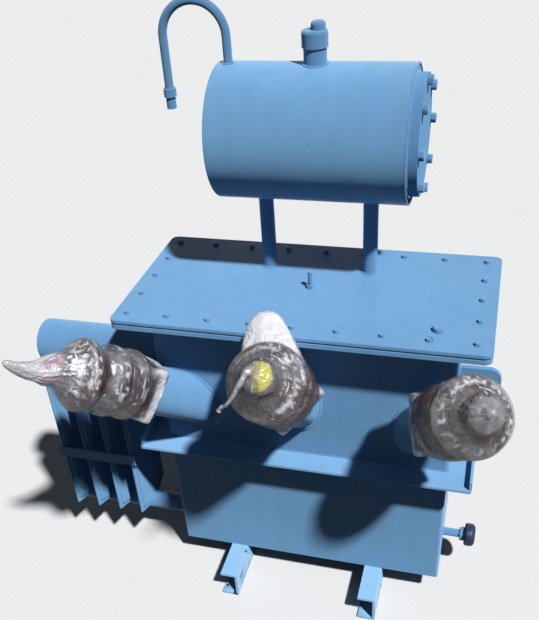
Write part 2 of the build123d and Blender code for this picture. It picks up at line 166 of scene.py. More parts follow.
def choose_faces(piece: Piece, test: Callable[[bmesh.types.BMFace], bool]) -> None:
    """Selects, in edit mode, only the faces that pass the test.

    Args:
        piece: The mesh object in edit mode.
        test: Says of a face whether it is wanted.
    """
    bpy.ops.mesh.select_mode(type="FACE")
    bpy.ops.mesh.select_all(action="DESELECT")
    mesh = bmesh.from_edit_mesh(piece.data)
    for face in mesh.faces:
        face.select_set(test(face))
    bmesh.update_edit_mesh(piece.data)


def inset_faces(
    piece: Piece, test: Callable[[bmesh.types.BMFace], bool], thickness: float, depth: float
) -> None:
    """Draws in the faces that pass the test and raises them, which leaves a chamfer.

    Args:
        piece: The mesh object in object mode.
        test: Says of a face whether it is wanted.
        thickness: How far the faces are drawn in.
        depth: How far they are raised.
    """
    bpy.ops.object.mode_set(mode="EDIT")
    choose_faces(piece, test)
    bpy.ops.mesh.inset(thickness=thickness, depth=depth)
    bpy.ops.object.mode_set(mode="OBJECT")


def aim(place: Vector, axis: Vector, turn: float = 0.0) -> Matrix:
    """A placement with local Z along an axis, turned about it by an angle in radians."""
    pointed = axis.to_track_quat("Z", "Y").to_matrix().to_4x4()
    return Matrix.Translation(place) @ pointed @ Matrix.Rotation(turn, 4, "Z")


def copies(master: Piece, name: str, placements: Iterable[Matrix]) -> Piece:
    """Sets a copy of a master at each placement, joins them and deletes the master.

    Args:
        master: The shape to repeat, modelled at the origin.
        name: The name of the joined piece.
        placements: One matrix for each copy.

    Returns:
        The joined piece.
    """
    made = []
    for placement in placements:
        copy = master.copy()
        copy.data = master.data.copy()
        bpy.context.collection.objects.link(copy)
        copy.matrix_world = placement @ master.matrix_world
        made.append(settle(copy))
    bpy.data.objects.remove(master)
    return joined(name, made)


def joined(name: str, parts: list[Piece]) -> Piece:
    """Joins mesh objects into one.

    Args:
        name: The name of the joined piece.
        parts: The mesh objects.

    Returns:
        The joined piece.
    """
    pick(*parts)
    if len(parts) > 1:
        bpy.ops.object.join()
    return added(name)


def mesh_piece(name: str, points: list[Vector], faces: list[tuple[int, ...]]) -> Piece:
    """Makes a mesh object of points and faces, and selects it alone.

    Args:
        name: The piece's name.
        points: The places of its points.
        faces: The indices of each face's points.

    Returns:
        The piece.
    """
    mesh = bpy.data.meshes.new(name)
    mesh.from_pydata([tuple(point) for point in points], [], faces)
    mesh.update()
    piece = bpy.data.objects.new(name, mesh)
    bpy.context.collection.objects.link(piece)
    pick(piece)
    return piece


def between_rings(first: int, second: int, count: int) -> list[tuple[int, ...]]:
    """The faces between two rings of points.

    Args:
        first: The index of the first point of one ring.
        second: The index of the first point of the next ring.
        count: The number of points in each.

    Returns:
        The indices of each face's points.
    """
    return [
        (first + index, first + (index + 1) % count, second + (index + 1) % count, second + index)
        for index in range(count)
    ]


def dress(piece: Piece, material: Material, smooth_angle: float = 40.0) -> None:
    """Gives a new piece its finish and its body, and reports it.

    Args:
        piece: The finished mesh object.
        material: Its material.
        smooth_angle: Edges flatter than this many degrees are shaded smooth.
    """
    pick(piece)
    bpy.ops.object.shade_smooth_by_angle(angle=math.radians(smooth_angle))
    piece.data.materials.clear()
    piece.data.materials.append(material)
    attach(piece, ROOT)
    LOG.info("%s: %d faces", piece.name, len(piece.data.polygons))


# Materials


class Operation(Enum):
    """What a math node does with its two values."""

    LARGER = "MAXIMUM"
    SUM = "ADD"
    PRODUCT = "MULTIPLY"


class Coordinates(Enum):
    """What a pattern lies on: the object's own axes or the unrolled surface."""

    OBJECT = "Object"
    UNROLLED = "UV"


@dataclass(frozen=True)
class Grain:
    """A noise pattern.

    The scale says how many features fit in a metre, or in the whole of the unrolled
    surface. Detail is the number of finer layers. Stretch is the factor on each coordinate,
    below 1 to draw the pattern out. Warp says how much the pattern is folded.
    """

    scale: float
    detail: float = 3.0
    stretch: Triple = (1.0, 1.0, 1.0)
    on: Coordinates = Coordinates.OBJECT
    warp: float = 0.0


@dataclass(frozen=True)
class Patches:
    """A grain whose values from low to high become the values from least to most."""

    grain: Grain
    low: float
    high: float
    least: float = 0.0
    most: float = 1.0


@dataclass(frozen=True)
class Relief:
    """A grain that dents the surface, with its strength and its depth in metres."""

    grain: Grain
    strength: float
    depth: float


class Recipe:
    """A material's node tree, written node by node."""

    def __init__(self, name: str) -> None:
        """Starts a material with one Principled shader.

        Args:
            name: The material's name.
        """
        self.material = bpy.data.materials.new(name)
        self.material.use_nodes = True
        self.tree = self.material.node_tree
        self.tree.nodes.clear()
        output = self.node("OutputMaterial")
        self.shader = self.node("BsdfPrincipled")
        self.wire(self.shader.outputs["BSDF"], output.inputs["Surface"])
        self.coordinates = self.node("TexCoord")

    def node(self, kind: str) -> bpy.types.Node:
        """Adds a shader node of a kind."""
        return self.tree.nodes.new("ShaderNode" + kind)

    def wire(self, source: Socket, target: Socket) -> None:
        """Links two sockets."""
        self.tree.links.new(source, target)

    def set(self, **values: object) -> None:
        """Sets constant inputs of the shader, with spaces written as underscores."""
        for key, value in values.items():
            self.shader.inputs[key.replace("_", " ").title().replace("Ior", "IOR")].default_value = value

    def noise(self, grain: Grain) -> Socket:
        """A noise pattern.

        Args:
            grain: Its sizes.

        Returns:
            The socket with the pattern's value.
        """
        mapping = self.node("Mapping")
        mapping.inputs["Scale"].default_value = grain.stretch
        self.wire(self.coordinates.outputs[grain.on.value], mapping.inputs["Vector"])
        pattern = self.node("TexNoise")
        for key, number in (("Scale", grain.scale), ("Detail", grain.detail), ("Distortion", grain.warp)):
            pattern.inputs[key].default_value = number
        self.wire(mapping.outputs["Vector"], pattern.inputs["Vector"])
        return pattern.outputs["Fac"]

    def patches(self, patches: Patches, shift: float = 0.0) -> Socket:
        """The patches of a grain, with their values moved up by a shift."""
        least, most = patches.least + shift, patches.most + shift
        return self.span(self.noise(patches.grain), patches.low, patches.high, least, most)

    def attribute(self, name: str) -> Socket:
        """A value that the mesh carries at its points.

        Args:
            name: The attribute's name.

        Returns:
            The socket with the value.
        """
        node = self.node("Attribute")
        node.attribute_name = name
        return node.outputs["Fac"]

    def combine(self, operation: Operation, first: Socket, second: Socket | float) -> Socket:
        """Two values made one.

        Args:
            operation: What is done with them.
            first: The first value.
            second: The second value, or a fixed number.

        Returns:
            The socket with the result.
        """
        node = self.node("Math")
        node.operation = operation.value
        self.wire(first, node.inputs[0])
        if isinstance(second, float):
            node.inputs[1].default_value = second
        else:
            self.wire(second, node.inputs[1])
        return node.outputs["Value"]

    def most(self, first: Socket, second: Socket) -> Socket:
        """The larger of two values."""
        return self.combine(Operation.LARGER, first, second)

    def plus(self, first: Socket, second: Socket) -> Socket:
        """The sum of two values."""
        return self.combine(Operation.SUM, first, second)

    def times(self, first: Socket, second: Socket | float) -> Socket:
        """The product of two values."""
        return self.combine(Operation.PRODUCT, first, second)

    def facing(self, direction: Triple) -> Socket:
        """How far the surface faces a fixed direction of the object.

        Args:
            direction: The direction.

        Returns:
            The socket with the value, 1 where the surface faces it fully.
        """
        node = self.node("VectorMath")
        node.operation = "DOT_PRODUCT"
        self.wire(self.coordinates.outputs["Normal"], node.inputs[0])
        node.inputs[1].default_value = direction
        return node.outputs["Value"]

    def height(self) -> Socket:
        """The Z coordinate of the surface.

        Returns:
            The socket with the height in metres.
        """
        split = self.node("SeparateXYZ")
        self.wire(self.coordinates.outputs["Object"], split.inputs["Vector"])
        return split.outputs["Z"]

    def span(
        self, value: Socket, low: float, high: float, to_low: float = 0.0, to_high: float = 1.0
    ) -> Socket:
        """A value moved from one range to another and held inside it.

        Args:
            value: The value.
            low: The lower end of its range.
            high: The upper end of its range.
            to_low: What the lower end becomes.
            to_high: What the upper end becomes.

        Returns:
            The socket with the result.
        """
        node = self.node("MapRange")
        for key, number in (("From Min", low), ("From Max", high), ("To Min", to_low), ("To Max", to_high)):
            node.inputs[key].default_value = number
        self.wire(value, node.inputs["Value"])
        return node.outputs["Result"]

    def blend(self, factor: Socket, first: Socket | Colour, second: Socket | Colour) -> Socket:
        """A mix of two colours.

        Args:
            factor: 0 for the first colour and 1 for the second.
            first: The first colour.
            second: The second colour.

        Returns:
            The socket with the mix.
        """
        node = self.node("Mix")
        node.data_type = "RGBA"
        self.wire(factor, node.inputs[0])
        for socket, source in ((node.inputs[6], first), (node.inputs[7], second)):
            if isinstance(source, tuple):
                socket.default_value = (*source, 1.0)
            else:
                self.wire(source, socket)
        return node.outputs[2]

    def relief(self, relief: Relief, under: Socket | None = None) -> Socket:
        """A dented normal.

        Args:
            relief: The dents.
            under: The normal below them, where it isn't the surface's own.

        Returns:
            The socket with the normal.
        """
        node = self.node("Bump")
        node.inputs["Strength"].default_value = relief.strength
        node.inputs["Distance"].default_value = relief.depth
        self.wire(self.noise(relief.grain), node.inputs["Height"])
        if under is not None:
            self.wire(under, node.inputs["Normal"])
        return node.outputs["Normal"]

    def colour(self, source: Socket) -> None:
        """Sends a colour to the shader."""
        self.wire(source, self.shader.inputs["Base Color"])

    def rough(self, source: Socket) -> None:
        """Sends a roughness to the shader."""
        self.wire(source, self.shader.inputs["Roughness"])

    def normal(self, source: Socket) -> None:
        """Sends a normal to the shader."""
        self.wire(source, self.shader.inputs["Normal"])


def scaled(colour: Colour, factor: float) -> Colour:
    """A colour made lighter or darker."""
    return tuple(min(1.0, level * factor) for level in colour)


@dataclass(frozen=True)
class Paint:
    """Sprayed enamel over steel sheet, with faint runs, a wavy sheet below, dust, chips and grime.

    Each shade is a factor on the colour.
    """

    name: str
    colour: Colour = srgb(116, 164, 206)
    roughness: float = 0.36
    chip_share: float = 0.0
    grime_height: float = 0.0
    waviness: float = 0.25
    sheen: float = 0.1
    softness: float = 0.9
    clouds: Patches = Patches(Grain(3.5, 4.0), 0.3, 0.7)
    cloud_shades: Pair = (0.93, 1.07)
    runs: Patches = Patches(Grain(1.0, 4.0, (38.0, 38.0, 3.0)), 0.35, 0.75, 0.0, 0.35)
    run_shade: float = 0.82
    specks: Patches = Patches(Grain(160.0, 2.0), 0.70, 0.76, 0.0, 0.5)
    speck_shade: float = 1.45
    grime: Patches = Patches(Grain(22.0, 6.0), 0.42, 0.62)
    grime_cover: float = 0.55
    grime_colour: Colour = srgb(84, 88, 88)
    chips: Grain = Grain(34.0, 5.0)
    chip_top: float = 0.74
    chip_edge: float = 0.012
    chip_colour: Colour = srgb(44, 50, 58)
    gloss: Patches = Patches(Grain(11.0, 5.0), 0.3, 0.7, -0.07, 0.12)
    waves: Grain = Grain(7.0, 2.0)
    wave_depth: float = 6 * MM
    spray: Relief = Relief(Grain(420.0, 2.0), 0.16, 0.5 * MM)

    def material(self) -> Material:
        """Builds the material.

        Returns:
            The material.
        """
        recipe = Recipe(self.name)
        darker, lighter = (scaled(self.colour, shade) for shade in self.cloud_shades)
        tone = recipe.blend(recipe.patches(self.clouds), darker, lighter)
        tone = recipe.blend(recipe.patches(self.runs), tone, scaled(self.colour, self.run_shade))
        tone = recipe.blend(recipe.patches(self.specks), tone, scaled(self.colour, self.speck_shade))
        if self.grime_height:
            low = recipe.span(recipe.height(), 0.0, self.grime_height, 1.0, 0.0)
            grime = recipe.times(recipe.times(low, recipe.patches(self.grime)), self.grime_cover)
            tone = recipe.blend(grime, tone, self.grime_colour)
        if self.chip_share:
            edge = self.chip_top - self.chip_share
            chips = recipe.span(recipe.noise(self.chips), edge, edge + self.chip_edge)
            tone = recipe.blend(chips, tone, self.chip_colour)
        recipe.colour(tone)
        recipe.rough(recipe.patches(self.gloss, self.roughness))
        wavy = recipe.relief(Relief(self.waves, self.waviness, self.wave_depth))
        recipe.normal(recipe.relief(self.spray, wavy))
        recipe.set(specular_ior_level=self.sheen, diffuse_roughness=self.softness)
        return recipe.material


@dataclass(frozen=True)
class Glaze:
    """Dark brown fired glaze with a slightly uneven skin."""

    name: str
    colour: Colour = srgb(66, 38, 30)
    clouds: Patches = Patches(Grain(18.0, 4.0), 0.35, 0.7)
    cloud_shades: Pair = (0.75, 1.35)
    specks: Patches = Patches(Grain(300.0, 2.0), 0.66, 0.72, 0.0, 0.6)
    speck_shade: float = 0.4
    gloss: Patches = Patches(Grain(30.0, 3.0), 0.3, 0.7, 0.08, 0.2)
    skin: Relief = Relief(Grain(60.0, 3.0), 0.2, 0.6 * MM)
    coat: float = 0.6
    coat_roughness: float = 0.06

    def material(self) -> Material:
        """Builds the material.

        Returns:
            The material.
        """
        recipe = Recipe(self.name)
        darker, lighter = (scaled(self.colour, shade) for shade in self.cloud_shades)
        tone = recipe.blend(recipe.patches(self.clouds), darker, lighter)
        specks = recipe.patches(self.specks)
        recipe.colour(recipe.blend(specks, tone, scaled(self.colour, self.speck_shade)))
        recipe.rough(recipe.patches(self.gloss))
        recipe.normal(recipe.relief(self.skin))
        recipe.set(coat_weight=self.coat, coat_roughness=self.coat_roughness)
        return recipe.material


@dataclass(frozen=True)
class BareMetal:
    """Plated or bare metal, dulled and spotted."""

    name: str
    colour: Colour
    roughness: float = 0.42
    stain: Colour = srgb(92, 82, 72)
    metallic: float = 0.75
    clouds: Patches = Patches(Grain(40.0, 6.0), 0.4, 0.75)
    cloud_shade: float = 0.78
    stains: Patches = Patches(Grain(90.0, 5.0), 0.6, 0.72, 0.0, 0.7)
    gloss: Patches = Patches(Grain(120.0, 4.0), 0.3, 0.7, -0.1, 0.15)
    skin: Relief = Relief(Grain(260.0, 4.0), 0.25, 0.4 * MM)

    def material(self) -> Material:
        """Builds the material.

        Returns:
            The material.
        """
        recipe = Recipe(self.name)
        tone = recipe.blend(recipe.patches(self.clouds), self.colour, scaled(self.colour, self.cloud_shade))
        recipe.colour(recipe.blend(recipe.patches(self.stains), tone, self.stain))
        recipe.rough(recipe.patches(self.gloss, self.roughness))
        recipe.normal(recipe.relief(self.skin))
        recipe.set(metallic=self.metallic)
        return recipe.material


@dataclass(frozen=True)
class CorkEdge:
    """Cork sheet squeezed out between two plates, with paint over its edge."""

    name: str
    colour: Colour = srgb(92, 130, 166)
    cork: Colour = srgb(86, 70, 54)
    roughness: float = 0.8
    grains: Patches = Patches(Grain(180.0, 6.0), 0.4, 0.62)
    clouds: Patches = Patches(Grain(25.0, 3.0), 0.45, 0.6)
    cloud_shade: float = 0.7
    skin: Relief = Relief(Grain(240.0, 5.0), 0.6, 1.2 * MM)

    def material(self) -> Material:
        """Builds the material.

        Returns:
            The material.
        """
        recipe = Recipe(self.name)
        tone = recipe.blend(recipe.patches(self.grains), self.colour, self.cork)
        recipe.colour(recipe.blend(recipe.patches(self.clouds), tone, scaled(self.colour, self.cloud_shade)))
        recipe.normal(recipe.relief(self.skin))
        recipe.set(roughness=self.roughness)
        return recipe.material


@dataclass(frozen=True)
class Film:
    """Wound stretch film: clear layers over the piece below, hazy where they bunch up.

    Two attributes of the mesh steer it: one for haze, where many layers lie, and for painted
    highlight bands, and mark, where a coloured scrap lies between them. A part of the shine is
    painted in: the film is paler where it faces up and to the front, whatever the light, and
    darker, a painted shade, where it faces away. Its glints are painted highlights too.
    """

    name: str
    mark_colour: Colour = srgb(128, 122, 126)
    # The colour where the film faces away from the painted light side: a painted shade.
    under: Colour = srgb(62, 52, 56)
    thin: Colour = srgb(114, 109, 118)
    # The colour of hazy film, and of the painted highlights.
    thick_and_lit: Colour = srgb(240, 240, 246)
    painted_light_side: Triple = PAINTED_LIGHT_SIDE
    clear_alpha: float = 0.20
    veiled_alpha: float = 0.52
    hazy_alpha: float = 0.97
    mark_alpha: float = 0.8
    specular: float = 1.0
    # What shapes the painted sheen, the painted glints and the painted shade, by how far the film faces the
    # painted light side.
    ragged_sheen: Grain = Grain(34.0, 4.0, warp=1.2)
    ragged_sheen_share: float = 0.6
    sheen_facing: Pair = (1.10, 1.30)
    glint_facing: Pair = (0.35, 0.9)
    glint_strength: Pair = (0.1, 0.95)
    painted_shade_facing: Pair = (0.15, 0.85)
    # The folds that break the painted sheen, patches of haze, and the arcs and streaks of the painted glints.
    sheen_folds: Patches = Patches(
        Grain(6.0, 3.0, (1.0, 5.0, 1.0), Coordinates.UNROLLED, 0.6), 0.42, 0.58, 0.25, 1.0
    )
    clouds: Patches = Patches(Grain(15.0, 4.0, warp=1.0), 0.45, 0.72, 0.0, 0.45)
    glint_arcs: Patches = Patches(Grain(8.0, 4.0, (1.0, 5.0, 1.0), Coordinates.UNROLLED, 0.8), 0.56, 0.68)
    glint_streaks: Patches = Patches(Grain(20.0, 4.0, (1.3, 1.0, 1.0), Coordinates.UNROLLED, 0.6), 0.57, 0.68)
    veil: Grain = Grain(13.0, 3.0, warp=0.6)
    veil_edge: Pair = (0.44, 0.60)
    gloss: Patches = Patches(Grain(40.0, 3.0), 0.35, 0.65, 0.20, 0.38)
    dents: Relief = Relief(Grain(30.0, 3.0, warp=1.4), 0.8, 9 * MM)
    pleats: Relief = Relief(Grain(7.0, 3.0, (1.5, 3.0, 1.0), Coordinates.UNROLLED, 0.6), 0.4, 5 * MM)
    wrinkles: Relief = Relief(Grain(95.0, 2.0, warp=0.8), 0.4, 3 * MM)

    def material(self) -> Material:
        """Builds the material.

        Returns:
            The material.
        """
        recipe = Recipe(self.name)
        # How far the film faces the painted light side; it sets the painted sheen, glints and shade.
        facing = recipe.facing(self.painted_light_side)
        # The haze, with the painted highlight bands that the mesh carries and the painted sheen and glints.
        haze_and_highlight = recipe.most(recipe.attribute("haze_and_highlight"), self.shine(recipe, facing))
        mark = recipe.attribute("mark")
        # Painted shade: darker where the film faces away from the painted light side.
        base = recipe.blend(recipe.span(facing, *self.painted_shade_facing), self.under, self.thin)
        # Hazy film and painted highlights take the pale colour.
        tone = recipe.blend(haze_and_highlight, base, self.thick_and_lit)
        recipe.colour(recipe.blend(mark, tone, self.mark_colour))
        veil = recipe.span(recipe.noise(self.veil), *self.veil_edge, self.clear_alpha, self.veiled_alpha)
        hazy = recipe.most(veil, recipe.span(haze_and_highlight, 0.0, 1.0, 0.0, self.hazy_alpha))
        cover = recipe.most(hazy, recipe.times(mark, self.mark_alpha))
        recipe.wire(cover, recipe.shader.inputs["Alpha"])
        recipe.rough(recipe.patches(self.gloss))
        normal = recipe.relief(self.pleats, recipe.relief(self.dents))
        recipe.normal(recipe.relief(self.wrinkles, normal))
        recipe.set(specular_ior_level=self.specular)
        return recipe.material

    def shine(self, recipe: Recipe, facing: Socket) -> Socket:
        """The painted sheen and glints, with random patches of haze.

        Args:
            recipe: The material's recipe.
            facing: How far the surface faces the painted light side.

        Returns:
            The socket with its strength, from 0 to 1.
        """
        # Painted sheen where the film faces the painted light side, its edge ragged and broken into folds.
        ragged_sheen = recipe.times(recipe.noise(self.ragged_sheen), self.ragged_sheen_share)
        sheen = recipe.span(recipe.plus(facing, ragged_sheen), *self.sheen_facing)
        bright = recipe.times(sheen, recipe.patches(self.sheen_folds))
        # Random patches of haze.
        clouds = recipe.patches(self.clouds)
        # Painted glints along arcs and streaks, where the film faces the painted light side.
        lines = recipe.most(recipe.patches(self.glint_arcs), recipe.patches(self.glint_streaks))
        glints = recipe.times(lines, recipe.span(facing, *self.glint_facing, *self.glint_strength))
        return recipe.most(bright, recipe.most(clouds, glints))


def made(finish: Paint | Glaze | BareMetal | CorkEdge | Film) -> Material:
    """A dataclass field that holds the material of a finish."""
    return field(default_factory=finish.material)


@dataclass
class Finishes:
    """Every material of the object, built once."""

    paint: Material = made(Paint("blue_enamel"))
    low_paint: Material = made(
        Paint("blue_enamel_low", srgb(150, 196, 230), chip_share=0.09, grime_height=0.06)
    )
    # Painted light: a lighter copy of the enamel, so that the band looks as bright as its lit top.
    band_paint: Material = made(Paint("blue_enamel_band_lit", srgb(134, 182, 222)))
    end_paint: Material = made(Paint("blue_enamel_end", sheen=0.0))
    # Painted light: a lighter copy of the enamel, so that the drum's lit top looks brighter.
    drum_paint: Material = made(Paint("blue_enamel_drum_lit", srgb(128, 178, 219), waviness=0.35))
    bolt_paint: Material = made(Paint("blue_enamel_bolts", roughness=0.3, chip_share=0.03))
    glaze: Material = made(Glaze("brown_glaze"))
    zinc: Material = made(BareMetal("dull_zinc", srgb(150, 150, 152)))
    iron: Material = made(BareMetal("dark_iron", srgb(52, 66, 84), 0.5, srgb(90, 130, 170)))
    brass: Material = made(BareMetal("dull_brass", srgb(176, 146, 88)))
    cork: Material = made(CorkEdge("painted_cork"))
    film: Material = made(Film("wound_film"))
    pink_film: Material = made(Film("wound_film_pink", srgb(188, 148, 166)))
    yellow_film: Material = made(Film("wound_film_yellow", srgb(222, 214, 96)))


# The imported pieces


@dataclass
class PackedPieces:
    """The CAD nodes, each of which takes a finish by its name or else by its slot."""

    finishes: Finishes
    by_slot: dict[str, str] = field(
        default_factory=lambda: {
            "blue_paint": "paint",
            "bare_steel": "zinc",
            "dark_steel": "iron",
            "brown_glaze": "glaze",
            "clear_film": "film",
            "cork_gasket": "cork",
            "brass": "brass",
        }
    )
    by_name: dict[str, str] = field(
        default_factory=lambda: {
            "base_channel_left": "low_paint",
            "base_channel_right": "low_paint",
            "stiffening_band": "band_paint",
            "conservator_shell": "drum_paint",
            "conservator_left_end": "drum_paint",
            "conservator_right_end": "end_paint",
            "conservator_end_ring": "end_paint",
            "conservator_end_cover": "end_paint",
        }
    )

    def finish_of(self, node: str, slot: str) -> Material:
        """The material of a node, by its name first and then by its slot."""
        return getattr(self.finishes, self.by_name.get(node, self.by_slot[slot]))

    def dress_all(self) -> None:
        """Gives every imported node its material."""
        for entry in frame["record"]["subparts"]:
            node = frame["nodes"][entry["node"]]
            material = self.finish_of(entry["node"], entry["material_slot"])
            node.data.materials.clear()
            node.data.materials.append(material)
            LOG.info("%s: %s", node.name, material.name)


def node_centre(name: str) -> Vector:
    """The centre of a node's own bounding box."""
    low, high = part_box(name)
    return (low + high) / 2


def node_points(name: str) -> list[Vector]:
    """The points of a node's mesh."""
    return [point.co.copy() for point in frame["nodes"][name].data.vertices]


# Fasteners


def prism(name: str, sides: int, radius: float, height: float, foot: float = 0.0) -> Piece:
    """A prism that stands on the axis Z.

    Args:
        name: Its name.
        sides: The number of its sides, many for a cylinder.
        radius: The distance of its corners from the axis.
        height: Its height.
        foot: How high its foot stands.

    Returns:
        The prism.
    """
    middle = (0, 0, foot + height / 2)
    bpy.ops.mesh.primitive_cylinder_add(vertices=sides, radius=radius, depth=height, location=middle)
    return settle(added(name))


@dataclass
class Bolt:
    """A hexagon head on a round washer, both soft under paint."""

    flats: float = 10 * MM
    head_height: float = 4.2 * MM
    washer_diameter: float = 12.5 * MM
    washer_thickness: float = 1.2 * MM
    washer_sides: int = 20
    washer_edge: float = 0.4 * MM
    head_edge: float = 0.5 * MM
    chamfer_share: float = 0.07
    crown_share: float = 0.12
    shank_diameter: float = 6 * MM
    shank_show: float = 0.0
    shank_sides: int = 14
    shank_chamfer: float = 0.9 * MM
    shank_crown: float = 0.6 * MM

    def build(self) -> Piece:
        """Models the bolt with its seat at the origin and its head along Z.

        Returns:
            The bolt as one mesh.
        """
        parts = [self.washer(), self.head()]
        if self.shank_show:
            parts.append(self.shank())
        return joined("bolt", parts)

    def washer(self) -> Piece:
        """The round washer on the seat.

        Returns:
            The washer.
        """
        washer = prism("washer", self.washer_sides, self.washer_diameter / 2, self.washer_thickness)
        finish_with(washer, "BEVEL", width=self.washer_edge, segments=1)
        return washer

    def head(self) -> Piece:
        """The hexagon, with its top face drawn in and raised for the chamfer.

        Returns:
            The head.
        """
        radius = self.flats / math.sqrt(3)
        head = prism("head", HEXAGON, radius, self.head_height, self.washer_thickness)
        inset_faces(
            head, lambda face: face.normal.z > PARALLEL,
            self.flats * self.chamfer_share, self.head_height * self.crown_share,
        )
        finish_with(head, "BEVEL", width=self.head_edge, segments=2)
        return head

    def shank(self) -> Piece:
        """The end of the thread that stands out of the nut.

        Returns:
            The shank.
        """
        top = self.washer_thickness + self.head_height
        shank = prism("shank", self.shank_sides, self.shank_diameter / 2, self.shank_show, top)
        inset_faces(shank, lambda face: face.normal.z > PARALLEL, self.shank_chamfer, self.shank_crown)
        return shank


@dataclass
class CoverBolting:
    """The bolts round the edge of the cover, with their nuts under the rim."""

    finishes: Finishes
    long_row: int = 9
    short_row: int = 5
    side_inset: float = 26 * MM
    front_inset: float = 28 * MM
    head: Bolt = field(default_factory=Bolt)
    nut: Bolt = field(default_factory=lambda: Bolt(head_height=5 * MM, shank_show=6 * MM))
    turn_grain: float = 37.0

    def places(self) -> list[Vector]:
        """Where each bolt crosses the top of the cover.

        Returns:
            The places in the cover's upper face.
        """
        low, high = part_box("top_cover")
        left, right = low.x + self.side_inset, high.x - self.side_inset
        front, back = low.y + self.front_inset, high.y - self.front_inset
        across = np.linspace(left, right, self.long_row)
        along = np.linspace(front, back, self.short_row)[1:-1]
        rows = [Vector((x, y, high.z)) for y in (front, back) for x in across]
        ends = [Vector((x, y, high.z)) for x in (left, right) for y in along]
        return rows + ends

    def build(self) -> None:
        """Models the heads on the cover and the nuts below the rim."""
        places = self.places()
        turns = [noise.noise(place * self.turn_grain) * math.pi for place in places]
        above = [aim(place, UP, turn) for place, turn in zip(places, turns)]
        dress(copies(self.head.build(), "cover_bolts", above), self.finishes.bolt_paint)
        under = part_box("tank_rim")[0].z
        below = [aim(Vector((place.x, place.y, under)), -UP, turn) for place, turn in zip(places, turns)]
        dress(copies(self.nut.build(), "cover_nuts", below), self.finishes.bolt_paint)


@dataclass
class EndCoverBolting:
    """The bolts in a circle on the conservator's end cover."""

    finishes: Finishes
    count: int = 8
    rim_inset: float = 9 * MM
    bolt: Bolt = field(
        default_factory=lambda: Bolt(flats=15 * MM, head_height=7.5 * MM, washer_diameter=17 * MM)
    )

    def build(self) -> None:
        """Models the ring of bolts."""
        low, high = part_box("conservator_end_cover")
        centre = node_centre("conservator_end_cover")
        radius = (high.z - low.z) / 2 - self.rim_inset
        placements = []
        for index in range(self.count):
            angle = math.tau * index / self.count
            y, z = centre.y + radius * math.sin(angle), centre.z + radius * math.cos(angle)
            placements.append(aim(Vector((high.x, y, z)), TO_RIGHT, angle))
        ring = copies(self.bolt.build(), "end_cover_bolts", placements)
        dress(ring, self.finishes.bolt_paint)


# Welds


